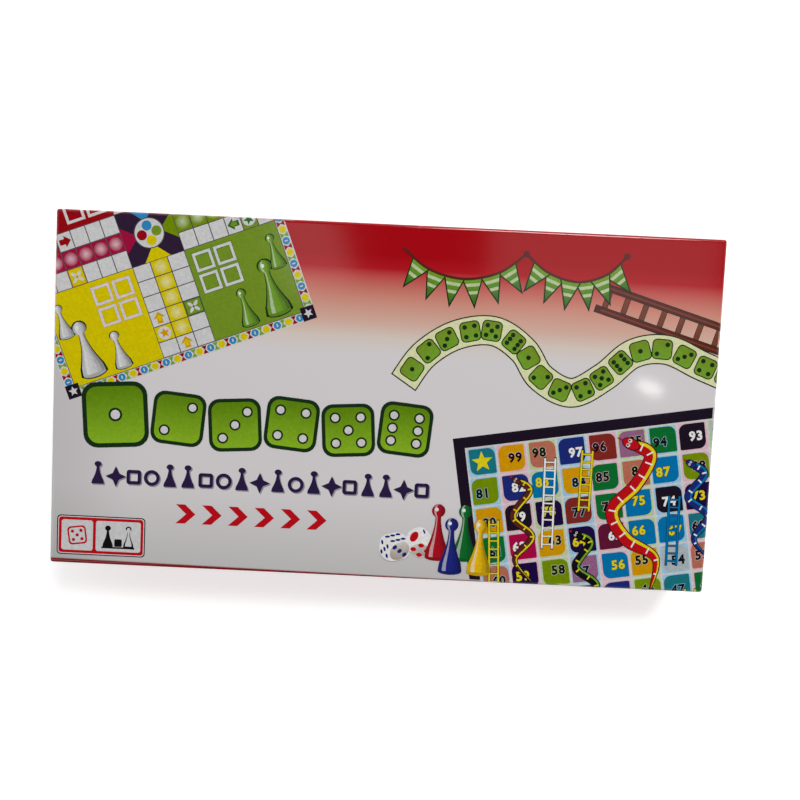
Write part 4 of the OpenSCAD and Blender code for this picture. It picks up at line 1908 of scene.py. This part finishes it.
class Workshop:
    """Holds the finishes, made once, and turns meshes into finished pieces."""

    def __init__(self) -> None:
        """Mix every finish."""
        film = Lamination()
        self.finishes: dict[str, Material] = {
            "lid_paper": LidPaper(film=film).build(),
            "base_paper": PlainPaper("base_paper", Ink.RED, film).build(),
            "lid_ink": PrintedInk("lid_ink", film).build(),
            "board_ink": PrintedInk("board_ink", Lamination(0.28, 0.0001)).build(),
            "greyboard": Greyboard().build(),
            "tray_plastic": Moulding("tray_plastic", (0.78, 0.77, 0.74, 1.0), 0.36).build(),
            "board_plastic": Moulding("board_plastic", (0.012, 0.022, 0.095, 1.0), 0.34).build(),
            "board_base": PlainPaper("board_base", Ink.WHITE, Lamination(0.28)).build(),
            "sheet_steel": Metal("sheet_steel", (0.55, 0.56, 0.58, 1.0), 0.32).build(),
            "pin_steel": Metal("pin_steel", (0.66, 0.66, 0.67, 1.0), 0.25).build(),
            "magnet_ferrite": Metal("magnet_ferrite", (0.05, 0.05, 0.055, 1.0), 0.55, 0.4).build(),
            "die_plastic": Moulding("die_plastic", (0.86, 0.85, 0.81, 1.0), 0.16, coat=0.3).build(),
            "pip_blue": Moulding("pip_blue", Ink.ROYAL.rgba, 0.3).build(),
            "pip_red": Moulding("pip_red", Ink.SCARLET.rgba, 0.3).build(),
        }
        for ink in (Ink.PAWN_RED, Ink.PAWN_BLUE, Ink.PAWN_GREEN, Ink.PAWN_YELLOW):
            name = ink.name.lower()
            self.finishes[name] = Moulding(name, ink.rgba, 0.24, coat=0.15).build()

    def finish(self, name: str, shape: BMesh, finish: str, body: str, slot: str,
               replaces: Sequence[str] = (), smooth: float | None = None) -> bpy.types.Object:
        """Make a finished piece and hang it on its body.

        Args:
            name: The piece's name.
            shape: Its mesh in the frame's metres, which is used up.
            finish: Name of its finish.
            body: Body that it moves with.
            slot: Not used.
            replaces: Nodes that it stands for.
            smooth: Angle in degrees up to which its edges are shaded smooth.

        Returns:
            The new object.
        """
        for face in shape.faces:
            face.smooth = smooth is not None
        if smooth is not None:
            for edge in shape.edges:
                sharp = edge.calc_face_angle(math.pi) > math.radians(smooth)
                edge.smooth = not sharp
        mesh = as_mesh(name, shape)
        mesh.materials.append(self.finishes[finish])
        piece = placed(name, mesh)
        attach(piece, body)
        if replaces:
            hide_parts(*replaces)
        LOG.info("%s: %d faces on %s", name, len(mesh.polygons), body)
        return piece

    def dress(self, node: str, finish: str) -> None:
        """Give a solid of the frame its finish.

        Args:
            node: Name of the solid.
            finish: Name of its finish.
        """
        mesh = frame["nodes"][node].data
        mesh.materials.clear()
        mesh.materials.append(self.finishes[finish])
        LOG.info("%s: dressed as %s", node, finish)


@dataclass(frozen=True)
class Wrap:
    """Names of one covering paper.

    Attributes:
        finish: The paper's piece and its finish.
        node: The solid that it stands for.
        body: Body that it moves with.
        slot: Slot of the record.
    """

    finish: str
    node: str
    body: str
    slot: str


@dataclass
class Carton:
    """The box: lid and base, each a greyboard cup in its covering paper."""

    shop: Workshop
    paper: float = 0.18 * MM
    board: float = 1.2 * MM
    turn_in: float = 9.0 * MM
    crease: float = 0.8 * MM
    flat_area: float = 400 * MM**2
    lid_layer: float = 0.006
    flap_margin: float = 0.9 * MM
    flap_rise: float = 0.04 * MM
    level_with: float = MM / 100
    smooth: float = 35.0
    wraps: tuple[Wrap, ...] = (
        Wrap("lid_paper", "lid_wrap", "lid", "box_paper"),
        Wrap("base_paper", "base_wrap", "base", "base_paper"),
    )

    def build(self) -> None:
        """Make and dress every piece of the box."""
        for make in (self._cover, self._end_papers):
            for wrap in self.wraps:
                make(wrap)
        self.shop.dress("lid_board", "greyboard")
        self.shop.dress("base_board", "greyboard")
        self.shop.dress("insert_tray", "tray_plastic")
        self._print_face()

    def _cover(self, wrap: Wrap) -> None:
        """Make the covering paper of one cup, turned in over its rim.

        The lid's paper closes the top and has its rim at the bottom. The base's is
        open at both ends.

        Args:
            wrap: Names of the paper.
        """
        crowned = wrap.body == "lid"
        low, high = map(Vector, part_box(wrap.node))
        size, middle = high - low, (low + high) / 2
        cover = bmesh.new()
        bmesh.ops.create_cube(cover, size=1.0)
        bmesh.ops.scale(cover, vec=size, verts=cover.verts)
        bmesh.ops.translate(cover, vec=middle, verts=cover.verts)
        upright = [edge for edge in cover.edges
                   if abs(edge.verts[0].co.z - edge.verts[1].co.z) > size.z / 2]
        rim_z, far_z = (low.z, high.z) if crowned else (high.z, low.z)
        creased = upright + (self._level(cover, far_z) if crowned else [])
        round_off(cover, creased, self.crease, 4, "EDGES")
        open_ends = [rim_z] if crowned else [rim_z, far_z]
        ends = [face for face in cover.faces
                if any(abs(face.calc_center_median().z - z) < self.level_with
                       for z in open_ends)]
        bmesh.ops.delete(cover, geom=ends, context="FACES")
        flats = [face for face in cover.faces if face.calc_area() > self.flat_area]
        bmesh.ops.inset_individual(cover, faces=flats, thickness=self.paper, use_even_offset=True)
        inward = 1.0 if crowned else -1.0
        rim = [edge for edge in self._level(cover, rim_z) if edge.is_boundary]
        wall = self.board + self.paper
        shrink = (1 - 2 * wall / size.x, 1 - 2 * wall / size.y, 1.0)
        rim, folded = self._fold(cover, rim)
        about = Matrix.Translation(-middle)
        bmesh.ops.scale(cover, vec=shrink, verts=folded, space=about)
        rim, folded = self._fold(cover, rim)
        bmesh.ops.translate(cover, vec=(0, 0, inward * self.turn_in), verts=folded)
        bmesh.ops.recalc_face_normals(cover, faces=cover.faces[:])
        self._point_outwards(cover, middle)
        bmesh.ops.solidify(cover, geom=cover.faces[:], thickness=self.paper)
        self.shop.finish(wrap.finish, cover, wrap.finish, wrap.body, wrap.slot, (wrap.node,),
                         self.smooth)

    def _level(self, cover: BMesh, height: float) -> list[BMEdge]:
        """Return the edges that lie at one height.

        Args:
            cover: The paper.
            height: The height, m.

        Returns:
            The edges.
        """
        return [edge for edge in cover.edges
                if all(abs(vert.co.z - height) < self.level_with for vert in edge.verts)]

    def _end_papers(self, wrap: Wrap) -> None:
        """Lay the short walls' paper over the flaps that come round the corners.

        Args:
            wrap: Names of the paper.
        """
        low, high = map(Vector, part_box(wrap.node))
        size, middle = high - low, (low + high) / 2
        papers = bmesh.new()
        clear = self.crease + self.flap_margin
        for side in (-1, 1):
            made = bmesh.ops.create_cube(papers, size=1.0)["verts"]
            spread = (self.paper, size.y - 2 * clear, size.z - self.crease - self.paper)
            bmesh.ops.scale(papers, vec=spread, verts=made)
            reach = size.x / 2 + self.flap_rise - self.paper / 2
            drop = -(self.crease - self.paper) / 2 if wrap.body == "lid" else self.paper / 2
            place = (middle.x + side * reach, middle.y, middle.z + drop)
            bmesh.ops.translate(papers, vec=place, verts=made)
        round_off(papers, papers.edges[:], self.flap_rise / 2, 2, "EDGES")
        self.shop.finish(f"{wrap.body}_end_papers", papers, wrap.finish, wrap.body, wrap.slot,
                         smooth=self.smooth)

    @staticmethod
    def _fold(cover: BMesh, rim: list[BMEdge]) -> tuple[list[BMEdge], list[BMVert]]:
        """Extend the paper at its rim.

        Args:
            cover: The paper.
            rim: Edges of its rim.

        Returns:
            The new rim's edges and their vertices.
        """
        grown = bmesh.ops.extrude_edge_only(cover, edges=rim)["geom"]
        verts = [part for part in grown if isinstance(part, BMVert)]
        edges = [part for part in grown if isinstance(part, BMEdge)
                 and all(vert in verts for vert in part.verts)]
        return edges, verts

    @staticmethod
    def _point_outwards(cover: BMesh, middle: Vector) -> None:
        """Flip all faces if the outer walls look inwards.

        Args:
            cover: The paper.
            middle: Middle of the box.
        """
        outer = max(cover.faces, key=lambda face: abs(face.calc_center_median().x - middle.x))
        if outer.normal.dot(outer.calc_center_median() - middle) < 0:
            bmesh.ops.reverse_faces(cover, faces=cover.faces[:])

    def _print_face(self) -> None:
        """Print the lid's face, over its rounded edges."""
        low, high = map(Vector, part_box("lid_wrap"))
        to_frame = Matrix.Translation((0, 0, high.z)) @ Matrix.Scale(MM, 4)
        radius = self.crease / MM
        creases = [Crease(axis, side, high[axis] / MM - radius, radius)
                   for axis in (0, 1) for side in (-1, 1)]
        press = Press(to_frame, self.lid_layer, creases)
        LidArt(Stencil(press)).draw()
        self.shop.finish("lid_print", press.sheet, "lid_ink", "lid", "box_paper")


@dataclass
class FoldingBoard:
    """The board: two halves with printed sheets over steel, and their hinge."""

    shop: Workshop
    layer: float = 0.0065
    seam_gap: float = 0.05
    sheet_edge: float = 0.25

    def build(self) -> None:
        """Dress the halves and print their four sheets."""
        for half in ("lower", "upper"):
            self.shop.dress(f"board_plate_{half}", "board_plastic")
            for side in ("snakes", "ludo"):
                self.shop.dress(f"steel_{side}_{half}", "sheet_steel")
                self.shop.dress(f"{side}_sheet_{half}", "board_base")
        for side in ("left", "right"):
            self.shop.dress(f"hinge_pin_{side}", "pin_steel")
        self._print_sheets()

    def _print_sheets(self) -> None:
        """Print both boards, drawn as they lie unfolded and cut at the seam."""
        low, high = map(Vector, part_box("snakes_sheet_lower"))
        hinge = next(joint for joint in frame["joints"] if joint["name"] == "board_unfold")
        axis_at = Vector(hinge["pos_m"])
        fold = (Matrix.Translation(axis_at) @ Matrix.Rotation(math.pi, 4, "X")
                @ Matrix.Translation(-axis_at))
        span = (high.x - low.x) / MM
        snakes = SnakesArt()
        ludo = LudoArt()
        snakes_cell = span / (snakes.count + 2 * snakes.border)
        ludo_cell = span / (2 * (ludo.half + ludo.border))
        top = Matrix.Translation((0, axis_at.y, high.z)) @ Matrix.Scale(MM, 4)
        under_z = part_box("ludo_sheet_lower")[0][2]
        under = (Matrix.Translation((0, axis_at.y, under_z)) @ Matrix.Rotation(math.pi, 4, "Y")
                 @ Matrix.Scale(MM, 4))
        for half, way, fold_up in (("lower", 1, Matrix.Identity(4)), ("upper", -1, fold)):
            inset = -way * (self.seam_gap + self.sheet_edge)
            cut = Cut(Vector((0, inset, 0)), Vector((0, way, 0)))
            for name, place, art, cell in (
                ("snakes", top, snakes, snakes_cell), ("ludo", under, ludo, ludo_cell),
            ):
                press = Press(fold_up @ place, self.layer, cuts=(cut,))
                art.draw(Stencil(press).moved(scale=cell))
                self.shop.finish(f"{name}_print_{half}", press.sheet, "board_ink",
                                 f"{half}_half", "board_print")


@dataclass
class GamePieces:
    """Pawns with their magnets, and the two dice."""

    shop: Workshop
    colours: tuple[Ink, ...] = (Ink.PAWN_RED, Ink.PAWN_BLUE, Ink.PAWN_GREEN, Ink.PAWN_YELLOW)
    count: int = 4
    turn_steps: int = 40
    magnet_radius: float = 2.52 * MM
    magnet_depth: float = 2.0 * MM
    pip_ball: float = 1.6 * MM
    pip_depth: float = 0.5 * MM
    one_ball: float = 3.2 * MM
    one_depth: float = 0.7 * MM
    paint: float = 0.03 * MM
    paint_lift: float = 0.01 * MM
    pip_rings: int = 6
    pip_steps: int = 24
    pip_spread: float = 2.8 / 5.5
    brim: float = 0.97

    def build(self) -> None:
        """Make every pawn and die."""
        for ink in self.colours:
            colour = ink.name.split("_")[1].lower()
            for number in range(1, self.count + 1):
                self._pawn(ink.name.lower(), colour, number)
        for side in ("left", "right"):
            self.shop.dress(f"die_{side}", "die_plastic")
            self._pips(side, "red", (PipCount.ONE, PipCount.FOUR))
            self._pips(side, "blue", (PipCount.TWO, PipCount.THREE, PipCount.FIVE, PipCount.SIX))

    def _pawn(self, finish: str, colour: str, number: int) -> None:
        """Turn one pawn and lay it where its solid lies.

        Args:
            finish: Name of its finish.
            colour: Its colour.
            number: Its number among its colour.
        """
        node = f"pawn_{colour}_{number}"
        low, high = map(Vector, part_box(node))
        foot_radius = (high.x - low.x) / 2
        height = foot_radius / PAWN.foot
        hole = [(0.0, self.magnet_depth), (self.magnet_radius, self.magnet_depth),
                (self.magnet_radius, 0.0)]
        outline = hole + [(x * height, y * height) for x, y in PAWN.half()] + [(0.0, height)]
        pawn = lathed(outline, self.turn_steps, MM / 1000)
        bmesh.ops.transform(pawn, matrix=self._lying(low, high, height), verts=pawn.verts)
        self.shop.finish(f"{colour}_pawn_{number}", pawn, finish, f"{colour}_{number}",
                         f"pawn_{colour}", (node,), smooth=50)
        self.shop.dress(f"magnet_{colour}_{number}", "magnet_ferrite")

    @staticmethod
    def _lying(low: Vector, high: Vector, height: float) -> Matrix:
        """Lay a pawn on its foot's edge and its head.

        Args:
            low: Low corner of its solid's box.
            high: High corner of it.
            height: The pawn's height.

        Returns:
            From the upright pawn to the frame.
        """
        bevel, head = PAWN.bevel * height, PAWN.head * height
        reach = height - head - bevel
        foot = PAWN.foot * height
        lean = math.atan2(foot, reach) - math.asin(head / math.hypot(foot, reach))
        foot_height = foot * math.cos(lean) + bevel * math.sin(lean)
        head_y = high.y - head
        at = Vector(((low.x + high.x) / 2, head_y - (height - head) * math.cos(lean),
                     low.z + foot_height))
        return Matrix.Translation(at) @ Matrix.Rotation(-QUARTER - lean, 4, "X")

    def _pips(self, side: str, colour: str, painted: Sequence[PipCount]) -> None:
        """Paint the dimples of some faces of one die.

        Args:
            side: Which die.
            colour: Colour of the paint.
            painted: Faces that have this colour.
        """
        low, high = map(Vector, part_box(f"die_{side}"))
        half = (high.x - low.x) / 2
        spread = half * self.pip_spread
        centre = Matrix.Translation((low + high) / 2)
        turns = {
            PipCount.FIVE: Matrix.Identity(4), PipCount.TWO: Matrix.Rotation(math.pi, 4, "X"),
            PipCount.THREE: Matrix.Rotation(QUARTER, 4, "X"),
            PipCount.FOUR: Matrix.Rotation(-QUARTER, 4, "X"),
            PipCount.SIX: Matrix.Rotation(QUARTER, 4, "Y"),
            PipCount.ONE: Matrix.Rotation(-QUARTER, 4, "Y"),
        }
        paint = bmesh.new()
        for pips in painted:
            single = pips is PipCount.ONE
            ball, depth = ((self.one_ball, self.one_depth) if single
                           else (self.pip_ball, self.pip_depth))
            for px, py in pips.value:
                at = Matrix.Translation((px * spread, py * spread, half + ball - depth))
                self._drop(paint, ball, depth, centre @ turns[pips] @ at)
        self.shop.finish(f"{side}_{colour}_pips", paint, f"pip_{colour}", f"{side}_die",
                         "die_plastic", smooth=60)

    def _drop(self, paint: BMesh, ball: float, depth: float, place: Matrix) -> None:
        """Add the coat of paint that lies in one dimple.

        Args:
            paint: Mesh that it is added to.
            ball: Radius of the dimple's ball.
            depth: Depth of the dimple.
            place: From the ball's centre to the frame.
        """
        outer, inner = ball - self.paint_lift, ball - self.paint_lift - self.paint
        brim = self.brim * math.acos((ball - depth) / ball)
        angles = [brim * i / self.pip_rings for i in range(self.pip_rings + 1)]
        outline = [(outer * math.sin(a), -outer * math.cos(a)) for a in angles]
        outline += [(inner * math.sin(a), -inner * math.cos(a)) for a in reversed(angles)]
        coat = lathed(outline, self.pip_steps, MM / 2000)
        bmesh.ops.transform(coat, matrix=place, verts=coat.verts)
        mesh = as_mesh("coat", coat)
        paint.from_mesh(mesh)
        bpy.data.meshes.remove(mesh)


@dataclass(frozen=True)
class SoftBox:
    """One area lamp.

    Attributes:
        name: Its name.
        at: Its place, mm.
        aim: What it points at, mm.
        size: Its sides, mm.
        power: Its power, W.
        turn: Its turn about its own aim, degrees.
    """

    name: str
    at: Triple
    aim: Triple
    size: Point
    power: float
    turn: float = 0.0


@dataclass(frozen=True)
class Studio:
    """Floor, light and camera."""

    camera_at: Triple = (5.02, 24.42, 286.1)
    camera_turn: Triple = (-4.645, 0.296, 2.673)
    view_angle: float = 43.53
    floor_half: float = 2500.0
    floor_colour: Rgba = (0.93, 0.93, 0.93, 1.0)
    floor_glow: float = 0.45
    sky: tuple[tuple[float, float], ...] = (
        (0.0, 1.0), (0.12, 0.9), (0.3, 0.66), (0.68, 0.66), (0.86, 0.03),
    )
    lamps: tuple[SoftBox, ...] = (
        SoftBox("key", (300.0, 640.0, 900.0), (0.0, 0.0, 0.0), (500.0, 400.0), 9.5),
        SoftBox("fill", (-700.0, -500.0, 800.0), (0.0, 0.0, 0.0), (500.0, 500.0), 1.2),
        SoftBox("window", (-84.0, 90.0, 624.6), (-84.0, 90.0, 0.0), (56.0, 92.0), 0.0165, 20.0),
        SoftBox("window_right", (181.0, 73.0, 624.6), (181.0, 73.0, 0.0), (200.0, 93.0), 0.042),
        SoftBox("spot", (114.7, -1.5, 184.6), (74.5, 6.0, 24.6), (3.0, 11.0), 0.0022, -12.0),
    )

    def build(self, face_height: float) -> None:
        """Set up the scene round the box.

        Args:
            face_height: Height of the printed face, m.
        """
        self._floor()
        self._world()
        for lamp in self.lamps:
            self._lamp(lamp)
        self._camera(face_height)
        bpy.context.scene.view_settings.view_transform = "Standard"

    def _floor(self) -> None:
        """Lay the plain pale floor."""
        nodes = Nodes("floor")
        nodes.fix(Base_Color=self.floor_colour, Roughness=0.9,
                  Emission_Color=(1.0, 1.0, 1.0, 1.0))
        path = nodes.add("ShaderNodeLightPath")
        seen = path.outputs["Is Camera Ray"]
        for ray in ("Is Glossy Ray", "Is Transmission Ray"):
            seen = nodes.sum("MAXIMUM", seen, path.outputs[ray])
        glow = nodes.sum("MULTIPLY", seen, self.floor_glow)
        nodes.join(glow, nodes.shader.inputs["Emission Strength"])
        ground = bmesh.new()
        bmesh.ops.create_grid(ground, x_segments=1, y_segments=1, size=self.floor_half * MM)
        mesh = as_mesh("floor", ground)
        mesh.materials.append(nodes.material)
        floor = placed("floor", mesh)

    def _world(self) -> None:
        """Light the room softly, darkest straight above."""
        world = bpy.data.worlds.new("room")
        world.use_nodes = True
        tree = world.node_tree
        background = tree.nodes["Background"]
        place = tree.nodes.new("ShaderNodeTexCoord")
        split = tree.nodes.new("ShaderNodeSeparateXYZ")
        tree.links.new(place.outputs["Generated"], split.inputs[0])
        ramp = tree.nodes.new("ShaderNodeValToRGB")
        band = ramp.color_ramp.elements
        for i, (height, strength) in enumerate(self.sky):
            element = band[i] if i < 2 else band.new(height)
            element.position = height
            element.color = (strength, strength, strength, 1.0)
        tree.links.new(split.outputs["Z"], ramp.inputs[0])
        tree.links.new(ramp.outputs[0], background.inputs["Color"])
        bpy.context.scene.world = world

    @staticmethod
    def _lamp(lamp: SoftBox) -> None:
        """Hang one soft area lamp.

        Args:
            lamp: The lamp.
        """
        light = bpy.data.lights.new(lamp.name, "AREA")
        light.shape = "RECTANGLE"
        light.size, light.size_y = (side * MM for side in lamp.size)
        light.energy = lamp.power
        holder = placed(lamp.name, light)
        at, aim = Vector(lamp.at) * MM, Vector(lamp.aim) * MM
        holder.location = at
        turned = Matrix.Rotation(math.radians(lamp.turn), 4, "Z")
        facing = (aim - at).to_track_quat("-Z", "Y").to_matrix().to_4x4()
        holder.rotation_euler = (facing @ turned).to_euler()

    def _camera(self, face_height: float) -> None:
        """Put the camera where the photograph was taken from.

        Args:
            face_height: Height of the printed face, m.
        """
        camera = bpy.data.cameras.new("camera")
        camera.sensor_fit = "HORIZONTAL"
        camera.angle = math.radians(self.view_angle)
        camera.clip_start = 0.01
        holder = placed("camera", camera)
        holder.location = Vector(self.camera_at) * MM + Vector((0, 0, face_height))
        holder.rotation_euler = [math.radians(turn) for turn in self.camera_turn]
        bpy.context.scene.camera = holder


def main() -> None:
    """Build every sub-assembly in order."""
    logging.basicConfig(level=logging.INFO, format="%(name)s: %(message)s")
    Studio().build(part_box("lid_wrap")[1][2])
    shop = Workshop()
    Carton(shop).build()
    FoldingBoard(shop).build()
    GamePieces(shop).build()


if __name__ == "__main__":
    main()
